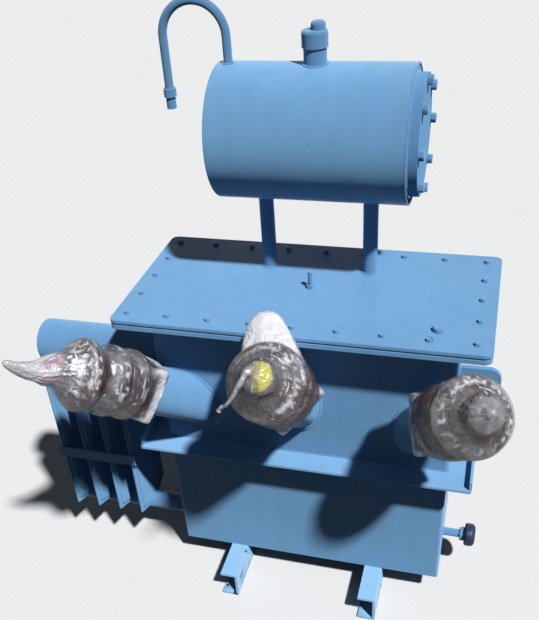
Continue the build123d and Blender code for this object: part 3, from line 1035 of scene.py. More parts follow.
@dataclass
class Welds:
    """Beads of weld metal under the paint, wherever one piece stands on another."""

    finishes: Finishes
    bead: float = 2.6 * MM
    turret_bead: float = 3.4 * MM
    radiator_bead: float = 3.2 * MM
    drain_bead: float = 2 * MM
    seam_bead: float = 2.0 * MM
    root_bead: float = 2.2 * MM
    band_bead: float = 1.8 * MM
    sunk_share: float = 0.3
    sides: int = 8
    least_steps: int = 48
    ring_step: float = 2 * MM
    run_step: float = 3 * MM
    saddle_steps: int = 60
    ripple: float = 0.9 * MM
    ripple_size: float = 5 * MM
    ripple_middle: float = 0.5
    smooth_angle: float = 60.0
    right_seam_inset: float = 2.2 * MM
    left_seam_inset: float = 4.0 * MM
    left_seam_depth: float = 1.5 * MM
    band_thickness: float = 5 * MM

    def roughened(self, piece: Piece) -> Piece:
        """Gives a bead the uneven skin of a hand-made weld.

        Args:
            piece: The smooth bead.

        Returns:
            The same object.
        """
        ripples = bpy.data.textures.new("weld_ripples", "CLOUDS")
        ripples.noise_scale = self.ripple_size
        finish_with(
            piece, "DISPLACE", texture=ripples, strength=self.ripple, mid_level=self.ripple_middle,
            texture_coords="LOCAL",
        )
        return piece

    def ring(
        self, name: str, place: Vector, axis: Vector, radius: float, bead: float | None = None,
        stretch: float = 1.0, toward: Vector | None = None
    ) -> Piece:
        """A bead round a pipe where it meets a flat face.

        Args:
            name: The bead's name.
            place: The centre of the joint.
            axis: The normal of the face.
            radius: The pipe's radius.
            bead: The bead's own radius.
            stretch: How much longer the ring is along `toward` on a slanted pipe.
            toward: The long direction of a stretched ring.

        Returns:
            The bead.
        """
        thickness = bead or self.bead
        steps = max(self.least_steps, int(math.tau * radius / self.ring_step))
        bpy.ops.mesh.primitive_torus_add(
            major_radius=radius + thickness * self.sunk_share, minor_radius=thickness,
            major_segments=steps, minor_segments=self.sides,
        )
        ring = added(name)
        if toward is None:
            ring.matrix_world = aim(place, axis)
        else:
            long = toward.normalized()
            turn = Matrix((long, axis.cross(long), axis)).transposed().to_4x4()
            ring.matrix_world = Matrix.Translation(place) @ turn @ Matrix.Diagonal((stretch, 1.0, 1.0, 1.0))
        return self.roughened(settle(ring))

    def run(self, name: str, start: Vector, end: Vector, bead: float | None = None) -> Piece:
        """A straight bead between two points.

        Args:
            name: The bead's name.
            start: One end.
            end: The other end.
            bead: The bead's own radius.

        Returns:
            The bead.
        """
        length = (end - start).length
        along = (end - start).normalized()
        bpy.ops.mesh.primitive_cylinder_add(vertices=self.sides, radius=bead or self.bead, depth=length)
        run = added(name)
        run.matrix_world = aim((start + end) / 2, along)
        settle(run)
        bpy.ops.object.mode_set(mode="EDIT")
        bpy.ops.mesh.select_mode(type="EDGE")
        bpy.ops.mesh.select_all(action="DESELECT")
        mesh = bmesh.from_edit_mesh(run.data)
        for edge in mesh.edges:
            direction = (edge.verts[1].co - edge.verts[0].co).normalized()
            edge.select_set(abs(direction.dot(along)) > PARALLEL)
        bmesh.update_edit_mesh(run.data)
        bpy.ops.mesh.subdivide(number_cuts=int(length / self.run_step))
        bpy.ops.object.mode_set(mode="OBJECT")
        return self.roughened(run)

    def saddle(self, name: str, place: Vector, radius: float, centre: Vector, drum_radius: float) -> Piece:
        """A bead round an upright pipe on the round of the drum, which follows the round.

        Args:
            name: The bead's name.
            place: Where the pipe's axis meets the drum's top or bottom line.
            radius: The pipe's radius.
            centre: The drum's centre.
            drum_radius: The drum's radius.

        Returns:
            The bead.
        """
        bpy.ops.mesh.primitive_torus_add(
            major_radius=radius + self.bead * self.sunk_share, minor_radius=self.bead,
            major_segments=self.saddle_steps, minor_segments=self.sides, location=place,
        )
        ring = settle(added(name))
        sign = 1.0 if place.z > centre.z else -1.0
        for vertex in ring.data.vertices:
            offset = vertex.co.y - centre.y
            round_height = math.sqrt(max(drum_radius**2 - offset**2, 0.0))
            vertex.co.z += sign * round_height + centre.z - place.z
        return self.roughened(ring)

    def build(self) -> None:
        """Models every bead, by sub-assembly."""
        groups = {
            "turret_welds": self.turret_rings(),
            "pipe_welds": self.pipe_rings(),
            "conservator_welds": self.drum_rings(),
            "lug_welds": self.lug_runs(),
            "band_welds": self.band_runs(),
        }
        for name, parts in groups.items():
            dress(joined(name, parts), self.finishes.bolt_paint, self.smooth_angle)

    def turret_rings(self) -> list[Piece]:
        """The long rings where the slanted turrets leave the front wall.

        Returns:
            The beads.
        """
        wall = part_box("tank_shell")[0].y
        rings = []
        for side in Side:
            axis = BushingAxis.of(side)
            reach = (wall - axis.foot.y) / axis.along.y
            place = axis.foot + axis.along * reach
            slope = Vector((axis.along.x, 0.0, axis.along.z))
            stretch = 1.0 / abs(axis.along.y)
            name = f"weld_{side.value}"
            rings.append(
                self.ring(name, place, TO_FRONT, axis.turret_radius, self.turret_bead, stretch, slope)
            )
        return rings

    def pipe_rings(self) -> list[Piece]:
        """The rings at the feet of the straight pipes.

        Returns:
            The beads.
        """
        cover_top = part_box("top_cover")[1].z
        tank_low, tank_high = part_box("tank_shell")
        rings = []
        for name in ("support_pipe_left", "support_pipe_right"):
            low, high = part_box(name)
            centre = node_centre(name)
            place = Vector((centre.x, centre.y, cover_top))
            rings.append(self.ring(name + "_weld", place, UP, (high.x - low.x) / 2))
        for name in ("radiator_upper_pipe", "radiator_lower_pipe"):
            low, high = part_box(name)
            centre = node_centre(name)
            place = Vector((tank_low.x, centre.y, centre.z))
            rings.append(self.ring(name + "_weld", place, TO_LEFT, (high.z - low.z) / 2, self.radiator_bead))
        low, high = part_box("drain_pipe")
        centre = node_centre("drain_pipe")
        place = Vector((tank_high.x, centre.y, centre.z))
        rings.append(self.ring("drain_weld", place, TO_RIGHT, (high.z - low.z) / 2, self.drain_bead))
        return rings

    def drum_rings(self) -> list[Piece]:
        """The saddles on the drum, the seams of its ends and the ring's root.

        Returns:
            The beads.
        """
        low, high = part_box("conservator_shell")
        centre = node_centre("conservator_shell")
        radius = (high.z - low.z) / 2
        filler_low, filler_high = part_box("filler_neck")
        filler = Vector((*node_centre("filler_neck").xy, high.z))
        rings = [self.saddle("filler_weld", filler, (filler_high.x - filler_low.x) / 2, centre, radius)]
        breather_low, breather_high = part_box("breather_pipe")
        thickness = breather_high.y - breather_low.y
        breather = Vector((breather_high.x - thickness / 2, centre.y, high.z))
        rings.append(self.saddle("breather_weld", breather, thickness / 2, centre, radius))
        for name in ("support_pipe_left", "support_pipe_right"):
            pipe_low, pipe_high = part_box(name)
            place = Vector((node_centre(name).x, centre.y, low.z))
            pipe_radius = (pipe_high.x - pipe_low.x) / 2
            rings.append(self.saddle(name + "_top_weld", place, pipe_radius, centre, radius))
        right_end = Vector((high.x, centre.y, centre.z))
        right_radius = radius - self.right_seam_inset
        rings.append(self.ring("end_seam", right_end, TO_RIGHT, right_radius, self.seam_bead))
        ring_low, ring_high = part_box("conservator_end_ring")
        ring_radius = (ring_high.z - ring_low.z) / 2
        rings.append(self.ring("ring_root", right_end, TO_RIGHT, ring_radius, self.root_bead))
        left_end = Vector((low.x + self.left_seam_depth, centre.y, centre.z))
        left_radius = radius - self.left_seam_inset
        rings.append(self.ring("left_seam", left_end, TO_LEFT, left_radius, self.seam_bead))
        return rings

    def lug_runs(self) -> list[Piece]:
        """Two beads at the root of each lifting lug.

        Returns:
            The beads.
        """
        tank_low, tank_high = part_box("tank_shell")
        runs = []
        for name, wall in (("lifting_lug_left", tank_low.x), ("lifting_lug_right", tank_high.x)):
            low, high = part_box(name)
            for y in (low.y, high.y):
                runs.append(self.run(name + "_weld", Vector((wall, y, low.z)), Vector((wall, y, high.z))))
        return runs

    def band_runs(self) -> list[Piece]:
        """Beads along the tank at both edges of the band and under the rim.

        Returns:
            The beads.
        """
        low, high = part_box("tank_shell")
        band_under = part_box("stiffening_band")[0].z
        rim_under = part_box("tank_rim")[0].z
        runs = []
        for height in (band_under + self.band_thickness, band_under, rim_under):
            ends = [(Vector((low.x, y, height)), Vector((high.x, y, height))) for y in (low.y, high.y)]
            ends += [(Vector((x, low.y, height)), Vector((x, high.y, height))) for x in (low.x, high.x)]
            runs += [self.run("band_run", start, end, self.band_bead) for start, end in ends]
        return runs


# Bushings in film


@dataclass
class BushingAxis:
    """The line through a slanted bushing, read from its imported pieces."""

    foot: Vector
    along: Vector
    across: Vector
    lift: Vector
    flange_half: float
    flange_turn: float
    turret_radius: float = 46 * MM

    @classmethod
    def of(cls, side: Side) -> "BushingAxis":
        """Reads the axis of a bushing from its flange and cap.

        Args:
            side: Which of the three bushings.

        Returns:
            The axis, with its foot in the upper face of the flange.
        """
        flange = node_points(f"bushing_flange_{side.value}")
        middle = (Vector(map(min, zip(*flange))) + Vector(map(max, zip(*flange)))) / 2
        cap = node_points(f"terminal_cap_{side.value}")
        along = (sum(cap, Vector()) / len(cap) - middle).normalized()
        across = UP.cross(along).normalized()
        lift = along.cross(across)
        corner = max(flange, key=lambda point: (point - middle).cross(along).length)
        turn = math.atan2((corner - middle).dot(lift), (corner - middle).dot(across)) - math.pi / 4
        heights = [(point - middle).dot(along) for point in flange]
        square = across * math.cos(turn) + lift * math.sin(turn)
        sides = [abs((point - middle).dot(square)) for point in flange]
        return cls(middle + along * max(heights), along, across, lift, max(sides), turn)

    def point(self, rise: float, angle: float, radius: float) -> Vector:
        """The place at a rise along the axis, an angle round it and a radius from it."""
        outward = self.across * math.cos(angle) + self.lift * math.sin(angle)
        return self.foot + self.along * rise + outward * radius


@dataclass
class Lobe:
    """A bunch of loose film beside a bushing that the outer layers stretch over.

    Its section is an ellipse in the plane across the bushing, largest at its rise.
    """

    rise: float = 84 * MM
    sideways: float = -20 * MM
    upwards: float = 72 * MM
    half_width: float = 35 * MM
    half_height: float = 52 * MM
    reach_front: float = 32 * MM
    reach_back: float = 80 * MM
    least_offset: float = 0.35
    offset_growth: float = 0.65

    def section(self, rise: float, steps: int = 40) -> list[Pair]:
        """The lobe's section at a rise.

        Args:
            rise: The rise along the bushing.
            steps: The number of points.

        Returns:
            The points of the section, none where the lobe doesn't reach.
        """
        reach = self.reach_front if rise > self.rise else self.reach_back
        share = 1.0 - ((rise - self.rise) / reach) ** 2
        if share <= 0:
            return []
        size = math.sqrt(share)
        offset = self.least_offset + self.offset_growth * size
        x, y = self.sideways * offset, self.upwards * offset
        angles = [math.tau * index / steps for index in range(steps)]
        return [
            (x + self.half_width * size * math.cos(angle), y + self.half_height * size * math.sin(angle))
            for angle in angles
        ]


def convex_hull(points: list[Pair]) -> list[Pair]:
    """The corners of the convex hull of points in a plane.

    Args:
        points: The points.

    Returns:
        The corners, in order round the hull.
    """
    ordered = sorted(set(points))
    hull: list[Pair] = []
    for pass_points in (ordered, ordered[::-1]):
        part: list[Pair] = []
        for point in pass_points:
            while len(part) > 1 and turn_of(part[-2], part[-1], point) <= 0:
                part.pop()
            part.append(point)
        hull += part[:-1]
    return hull


def hull_reach(points: list[Pair], angles: list[float]) -> list[float]:
    """How far the convex hull of points reaches from the origin at each angle.

    Args:
        points: Points in a plane, round the origin.
        angles: The directions asked for, in radians.

    Returns:
        The distance of the hull in each direction.
    """
    hull = convex_hull(points)
    reaches = []
    for angle in angles:
        x, y = math.cos(angle), math.sin(angle)
        best = 0.0
        for first, second in zip(hull, hull[1:] + hull[:1]):
            edge = (second[0] - first[0], second[1] - first[1])
            steepness = x * edge[1] - y * edge[0]
            if steepness > TOLERANCE * MM:
                distance = (first[0] * edge[1] - first[1] * edge[0]) / steepness
                share = (x * distance - first[0]) * edge[0] + (y * distance - first[1]) * edge[1]
                if -TOLERANCE <= share <= edge[0] ** 2 + edge[1] ** 2 + TOLERANCE:
                    best = max(best, distance)
        reaches.append(best)
    return reaches


def turn_of(first: Pair, second: Pair, third: Pair) -> float:
    """Positive where three points in a plane turn left."""
    return (second[0] - first[0]) * (third[1] - first[1]) - (second[1] - first[1]) * (third[0] - first[0])


def wrapped_noise(angle: float, grain: float, height: float) -> float:
    """Noise on a cylinder, at an angle round it and at a height; its radius is the grain."""
    return noise.noise(Vector((math.cos(angle) * grain, math.sin(angle) * grain, height)))


@dataclass(frozen=True)
class Folds:
    """Noisy folds round a bushing, with a height in millimetres.

    The grain says how many fit round the bushing, and the pace how many fit in a metre
    along it. The twist is the turn in radians for a metre along it. Where a sharpness is
    given, the folds are ridges that stand up to the crest.
    """

    grain: float
    pace: float
    height: float
    twist: float = 0.0
    crest: float = 0.7
    sharpness: float = 0.0

    def lift(self, rise: float, angle: float, seed: float) -> float:
        """How high the folds stand at a place.

        Args:
            rise: The rise along the bushing.
            angle: The angle round it.
            seed: Where in the noise the folds begin.

        Returns:
            The height in millimetres.
        """
        wave = wrapped_noise(angle + rise * self.twist, self.grain, rise * self.pace + seed)
        if self.sharpness:
            wave = self.crest - abs(wave) * self.sharpness
        return wave * self.height


@dataclass(frozen=True)
class HazeAndHighlightPlaces:
    """Where the layers of every film bunch up, and where the painted highlight bands show and how broken they
    are.
    """

    flange: float = 0.9
    flange_rise: float = 3 * MM
    flange_reach: float = 15 * MM
    flange_gain: float = 1.6
    corner: float = 0.95
    corner_radius: float = 63 * MM
    corner_reach: float = 5 * MM
    corner_top: float = 25 * MM
    tail_reach: float = 22 * MM
    # Painted highlight bands: they show where the film faces the painted light side, broken by noise.
    lit_from: float = 0.25
    lit_range: float = 0.4
    whole_share: float = 0.55
    broken_grain: float = 7.0
    broken_pace: float = 70.0
    broken_gain: float = 2.4
    highlight_band_power: float = 0.6
    spot: float = 0.25
    spot_grain: float = 2.0
    spot_pace: float = 40.0


@dataclass
class FilmMesh:
    """The points and faces of a film as it grows, with the haze, painted highlight and mark of each point."""

    points: list[Vector] = field(default_factory=list)
    faces: list[tuple[int, ...]] = field(default_factory=list)
    haze_and_highlight: list[float] = field(default_factory=list)
    mark: list[float] = field(default_factory=list)

    def add(self, point: Vector, haze_and_highlight: float, mark: float) -> None:
        """Adds a point.

        Args:
            point: Its place.
            haze_and_highlight: How hazy the film is there, with any painted highlight.
            mark: How strong the mark is there.
        """
        self.points.append(point)
        self.haze_and_highlight.append(haze_and_highlight)
        self.mark.append(mark)


@dataclass(frozen=True)
class Strand:
    """A twisted strand of film, drawn along a smooth curve through its stops.

    Each stop is a place across, upwards and along from the foot of a bushing's axis, in
    millimetres. The strand is thick at its root and widens a little at its tip.
    """

    stops: tuple[Triple, ...]
    steps: int = 60
    sides: int = 12
    twist_step: float = 0.32
    haze_and_highlight: float = 0.5
    width: float = 2.8
    root_width: float = 7.5
    tip_width: float = 1.6
    thickness: float = 1.6
    root_thickness: float = 6.0
    root_power: int = 4
    tip_power: int = 8
    upright: Triple = (0.3, 0.2, 1.0)

    def middle(self, row: int) -> tuple[Vector, Vector]:
        """The middle of one of the strand's rings.

        Args:
            row: The ring's number, from the root.

        Returns:
            The middle and the way the strand runs there, across, upwards and along.
        """
        stops = [Vector(stop) * MM for stop in self.stops]
        share = row / self.steps * (len(stops) - 1)
        index = min(int(share), len(stops) - 2)
        local = share - index
        before, after = stops[max(index - 1, 0)], stops[min(index + 2, len(stops) - 1)]
        first, second = stops[index], stops[index + 1]
        slope = (second - before) * local
        bend = (2 * before - 5 * first + 4 * second - after) * local**2
        swing = (3 * first - before - 3 * second + after) * local**3
        return 0.5 * (2 * first + slope + bend + swing), (second - first).normalized()

    def add_to(self, mesh: FilmMesh, axis: BushingAxis) -> None:
        """Adds the strand to a film.

        Args:
            mesh: The film's mesh, which grows.
            axis: The bushing's axis.
        """
        start = len(mesh.points)
        for row in range(self.steps + 1):
            centre, run = self.middle(row)
            side = run.cross(Vector(self.upright)).normalized()
            other = run.cross(side)
            root = 1.0 - row / self.steps
            tip = self.tip_width * (1 - root) ** self.tip_power
            wide = (self.width + self.root_width * root**self.root_power + tip) * MM
            flat = (self.thickness + self.root_thickness * root**self.root_power) * MM
            for corner in range(self.sides):
                angle = math.tau * corner / self.sides
                level = abs(math.cos(angle + row * self.twist_step))
                steep = abs(math.sin(angle + row * self.twist_step))
                offset = side * math.cos(angle) * (wide * level + flat * steep)
                offset += other * math.sin(angle) * (flat * level + wide * steep)
                place = centre + offset
                point = axis.foot + axis.across * place.x + axis.lift * place.y + axis.along * place.z
                mesh.add(point, self.haze_and_highlight, 0.0)
        rows = [start + row * self.sides for row in range(self.steps + 1)]
        for first, second in zip(rows, rows[1:]):
            mesh.faces += between_rings(first, second, self.sides)
        mesh.faces.append(tuple(start + corner for corner in reversed(range(self.sides))))
        mesh.faces.append(tuple(rows[-1] + corner for corner in range(self.sides)))


Marked = Callable[[float, float, float], float]


@dataclass
class FilmWrap:
    """Stretch film wound round a bushing, from the edges of its flange to beyond the cap.

    Each station is the rise above the flange in millimetres, the radius there and the
    share of the flange's square that the film still has. Each highlight band is the rise of a
    painted highlight arc in millimetres, its half width and its strength; it shows only where
    the film faces the painted light side. Each sag is a rise and how far the film hangs down
    there, both in millimetres.
    """

    side: Side
    material: Material
    front: tuple[Station, ...]
    seed: float
    twist: float = 5.0
    lobe: Lobe | None = None
    marked: Marked | None = None
    sag: tuple[Pair, ...] = ((0.0, 0.0),)
    strand: Strand | None = None
    haze_from: float = 168 * MM
    tail_haze: float = 0.72
    highlight_bands: tuple[Station, ...] = ()
    painted_light_side: Vector = field(default_factory=lambda: Vector(PAINTED_LIGHT_SIDE))
    places: HazeAndHighlightPlaces = HazeAndHighlightPlaces()
    pleats: Folds = Folds(4.2, 13.0, 1.0, sharpness=2.0)
    creases: Folds = Folds(2.6, 30.0, 1.3, twist=-9.0, sharpness=2.2)
    swells: Folds = Folds(1.5, 24.0, 1.8)
    shed_radius: float = 64 * MM
    slack_reach: float = 10 * MM
    least_slack: float = 0.25
    loose_slack: float = 1.4
    narrow_radius: float = 26 * MM
    square_power: float = 16.0
    flange_gap: float = 1.4 * MM
    loose_reach: float = 7 * MM
    tip_height: float = 1.2
    thickness: float = 0.4 * MM
    sheet_width: float = 0.25
    smooth_angle: float = 180.0
    rounding: float = 1.5
    rounded_rings: int = 4
    map_stretch: int = 4
    around: int = 192
    step: float = 1.7 * MM
    body: tuple[Station, ...] = (
        (-12.5, 48.0, 0.0),
        (-11.2, 58.0, 0.8),
        (-9.5, 62.0, 1.0),
        (0.8, 62.0, 1.0),
        (8.0, 62.0, 0.8),
        (18.0, 62.5, 0.38),
        (28.0, 64.4, 0.0),
        (37.5, 64.6, 0.0),
        (45.0, 63.0, 0.0),
        (53.0, 61.2, 0.0),
        (61.0, 61.8, 0.0),
        (71.0, 64.0, 0.0),
        (80.0, 64.2, 0.0),
        (88.0, 62.6, 0.0),
        (96.0, 59.0, 0.0),
        (104.0, 55.6, 0.0),
        (111.0, 55.6, 0.0),
        (117.0, 59.0, 0.0),
        (121.5, 63.0, 0.0),
        (127.0, 64.6, 0.0),
        (136.0, 64.6, 0.0),
        (139.5, 62.0, 0.0),
        (146.0, 55.0, 0.0),
        (156.0, 45.5, 0.0),
        (165.0, 38.0, 0.0),
        (172.0, 33.0, 0.0),
        (181.0, 29.8, 0.0),
    )

    def profile(self) -> tuple[np.ndarray, np.ndarray, np.ndarray]:
        """The shape of all rings, with the stations' corners rounded.

        Returns:
            The rises, radii and squarenesses.
        """
        rises, radii, squares = (np.array(column) for column in zip(*self.body, *self.front))
        at = np.arange(rises[0], rises[-1], self.step / MM)
        near = np.arange(-self.rounded_rings, self.rounded_rings + 1)
        weights = np.exp(-0.5 * (near * self.step / MM / self.rounding) ** 2)
        weights /= weights.sum()
        smooth = [
            np.convolve(
                np.pad(np.interp(at, rises, values), self.rounded_rings, mode="edge"), weights, mode="valid"
            )
            for values in (radii, squares)
        ]
        return at * MM, smooth[0] * MM, smooth[1]

    def crumple(self, rise: float, angle: float, radius: float, loose: float) -> float:
        """How far the folds lift the film at a place.

        Args:
            rise: The height over the flange.
            angle: The direction round the axis.
            radius: The radius of the ring's round share.
            loose: How far the film stands off, from 0 to 1.

        Returns:
            The lift in metres.
        """
        pleat = self.pleats.lift(rise, angle + rise * self.twist, self.seed)
        crease = self.creases.lift(rise, angle, -self.seed)
        swell = self.swells.lift(rise, angle, self.seed * 2)
        off_sheds = min(1.0, abs(radius - self.shed_radius) / self.slack_reach)
        slack = self.least_slack + (1 - self.least_slack) * off_sheds + self.loose_slack * loose
        return (pleat + crease + swell) * MM * slack * min(1.0, radius / self.narrow_radius)

    def section(
        self, axis: BushingAxis, rise: float, radius: float, square: float
    ) -> tuple[list[float], list[float]]:
        """One ring of the film.

        Args:
            axis: The bushing's axis.
            rise: The ring's rise.
            radius: The radius of its round share.
            square: Its share of the flange's square.

        Returns:
            The reach at each angle, and how loose the film is there, from 0 to 1.
        """
        angles = [math.tau * index / self.around for index in range(self.around)]
        power = self.square_power
        half = axis.flange_half + self.flange_gap
        tight = []
        for angle in angles:
            local = angle - axis.flange_turn
            reach = half * (abs(math.cos(local)) ** power + abs(math.sin(local)) ** power) ** (-1 / power)
            tight.append(radius * (1 - square) + reach * square)
        loose = [0.0] * self.around
        bunch = self.lobe.section(rise) if self.lobe else []
        if bunch:
            ring = [(reach * math.cos(angle), reach * math.sin(angle)) for reach, angle in zip(tight, angles)]
            hull = hull_reach(ring + bunch, angles)
            loose = [held((wide - near) / self.loose_reach) for wide, near in zip(hull, tight)]
            tight = [max(wide, near) for wide, near in zip(hull, tight)]
        full = [
            reach + self.crumple(rise, angle, radius, slack)
            for reach, angle, slack in zip(tight, angles, loose)
        ]
        return full, loose

    def haze_and_highlight(self, rise: float, angle: float, reach: float, loose: float, facing: float) -> float:
        """How hazy the film is at a place, with the painted highlight bands.

        Args:
            rise: The height over the flange.
            angle: The direction round the axis.
            reach: The distance from the axis.
            loose: How far the film stands off, from 0 to 1.
            facing: How much the film faces the painted light side there.

        Returns:
            A share from 0 to 1, high at the flange's edges, in bunches, in the painted highlight bands and
            round the tail.
        """
        own = self.places
        spot = own.spot * wrapped_noise(angle, own.spot_grain, rise * own.spot_pace + self.seed)
        off_flange = abs(rise + own.flange_rise) / own.flange_reach
        at_flange = own.flange * held(own.flange_gain * (1.0 - off_flange))
        in_corner = held((reach - own.corner_radius) / own.corner_reach)
        at_corner = own.corner * in_corner * (rise < own.corner_top)
        at_tail = self.tail_haze * held((rise - self.haze_from) / own.tail_reach)
        broken = wrapped_noise(angle, own.broken_grain, rise * own.broken_pace + self.seed)
        whole = held(own.whole_share + broken * own.broken_gain)
        # Painted highlight: the bands show only where the film faces the painted light side.
        lit = held((facing - own.lit_from) / own.lit_range) * whole
        in_highlight_bands = [
            strength * lit * held(1.0 - abs(rise / MM - at) / width) ** own.highlight_band_power
            for at, width, strength in self.highlight_bands
        ]
        return held(max(at_flange, at_corner, at_tail, loose, *in_highlight_bands) + spot)

    def wound(self, axis: BushingAxis) -> FilmMesh:
        """The film's rings from its foot to its closed tip.

        Args:
            axis: The bushing's axis.

        Returns:
            The mesh of the wound film.
        """
        mesh = FilmMesh()
        rises, radii, squares = self.profile()
        slopes = np.gradient(radii, rises)
        for rise, radius, square, slope in zip(rises, radii, squares, slopes):
            reaches, slack = self.section(axis, rise, radius, square)
            drop = axis.lift * float(np.interp(rise / MM, *zip(*self.sag))) * MM
            for index, (reach, loose) in enumerate(zip(reaches, slack)):
                angle = math.tau * index / self.around
                outward = axis.across * math.cos(angle) + axis.lift * math.sin(angle)
                facing = (outward - axis.along * slope).normalized().dot(self.painted_light_side)
                sideways, upwards = reach * math.cos(angle), reach * math.sin(angle)
                mesh.add(
                    axis.point(rise, angle, reach) - drop,
                    self.haze_and_highlight(rise, angle, reach, loose, facing),
                    self.marked(rise, sideways, upwards) if self.marked else 0.0,
                )
        last = len(mesh.points) - self.around
        tip = sum(mesh.points[last:], Vector()) / self.around + axis.along * self.tip_height * MM
        mesh.add(tip, mesh.haze_and_highlight[-1], mesh.mark[-1])
        for row in range(0, last, self.around):
            mesh.faces += between_rings(row, row + self.around, self.around)
        for index in range(self.around):
            mesh.faces.append((last + index, last + (index + 1) % self.around, last + self.around))
        return mesh

    def build(self) -> Piece:
        """Models the film, closed at its tip, with its strand.

        Returns:
            The film as one mesh.
        """
        axis = BushingAxis.of(self.side)
        mesh = self.wound(axis)
        if self.strand:
            self.strand.add_to(mesh, axis)
        film = mesh_piece(f"film_{self.side.value}", mesh.points, mesh.faces)
        self.map(film)
        for name, values in (("haze_and_highlight", mesh.haze_and_highlight), ("mark", mesh.mark)):
            film.data.attributes.new(name, "FLOAT", "POINT").data.foreach_set("value", values)
        finish_with(film, "SOLIDIFY", thickness=self.thickness, offset=-1.0)
        dress(film, self.material, self.smooth_angle)
        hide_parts("stretch_film")
        return film

    def map(self, film: Piece) -> None:
        """Unrolls the film: U runs round the bushing and V along it.

        Args:
            film: The film as one skin.
        """
        layer = film.data.uv_layers.new(name="unrolled")
        for face in film.data.polygons:
            columns = [vertex % self.around for vertex in face.vertices]
            wraps = max(columns) - min(columns) > self.around / 2
            for loop, vertex, column in zip(face.loop_indices, face.vertices, columns):
                turn = (column + (self.around if wraps and column < self.around / 2 else 0)) / self.around
                layer.data[loop].uv = (turn, vertex // self.around * self.step * self.map_stretch)


@dataclass(frozen=True)
class FrontScrap:
    """A coloured scrap in the front of a film, stronger in its right half."""

    from_rise: float = 186 * MM
    radius: float = 23.5 * MM
    strong_from: float = 6 * MM
    weak_from: float = -5 * MM
    weak: float = 0.5
    grain: float = 150.0
    ragged: float = 2.5

    def strength(self, rise: float, sideways: float, upwards: float) -> float:
        """How strong the scrap shows at a place.

        Args:
            rise: The height over the flange.
            sideways: The place across the bushing.
            upwards: The place up across the bushing.

        Returns:
            A share from 0 to 1.
        """
        place = Vector((sideways * self.grain, upwards * self.grain, 1.0))
        ragged = noise.noise(place) * self.ragged * MM
        if rise < self.from_rise or math.hypot(sideways, upwards) > self.radius:
            return 0.0
        if sideways > self.strong_from + ragged:
            return 1.0
        return self.weak * (sideways > self.weak_from + ragged)


@dataclass(frozen=True)
class CapSmudges:
    """Two coloured smudges round the cap of a bushing, each between two angles in degrees."""

    from_rise: float = 182 * MM
    to_rise: float = 208 * MM
    spans: tuple[Pair, ...] = ((34.0, 78.0), (-52.0, 0.0))
    cover: float = 0.75
    grain: float = 160.0
    round_grain: float = 0.06
    ragged: float = 14.0

    def strength(self, rise: float, sideways: float, upwards: float) -> float:
        """How strong the smudges show at a place.

        Args:
            rise: The height over the flange.
            sideways: The place across the bushing.
            upwards: The place up across the bushing.

        Returns:
            A share from 0 to 1.
        """
        degrees = math.degrees(math.atan2(upwards, sideways))
        ragged = noise.noise(Vector((rise * self.grain, degrees * self.round_grain, 4.0))) * self.ragged
        inside = any(low + ragged < degrees < high + ragged for low, high in self.spans)
        return self.cover * (self.from_rise < rise < self.to_rise and inside)


@dataclass
class FlangeBolting:
    """A stud with a nut near each corner of a bushing's clamp flange."""

    finishes: Finishes
    corner_inset: float = 13 * MM
    flange_thickness: float = 9 * MM
    nut: Bolt = field(
        default_factory=lambda: Bolt(
            flats=14 * MM, head_height=7 * MM, washer_diameter=17 * MM, shank_show=4 * MM
        )
    )

    def build(self) -> None:
        """Models the nuts on the flange and the heads behind it."""
        placements = []
        for side in Side:
            axis = BushingAxis.of(side)
            reach = (axis.flange_half - self.corner_inset) * math.sqrt(2)
            for quarter in range(4):
                angle = axis.flange_turn + math.pi / 4 + quarter * math.pi / 2
                place = axis.point(0.0, angle, reach)
                placements.append(aim(place, axis.along, angle))
                placements.append(aim(place - axis.along * self.flange_thickness, -axis.along, angle))
        dress(copies(self.nut.build(), "flange_nuts", placements), self.finishes.zinc)


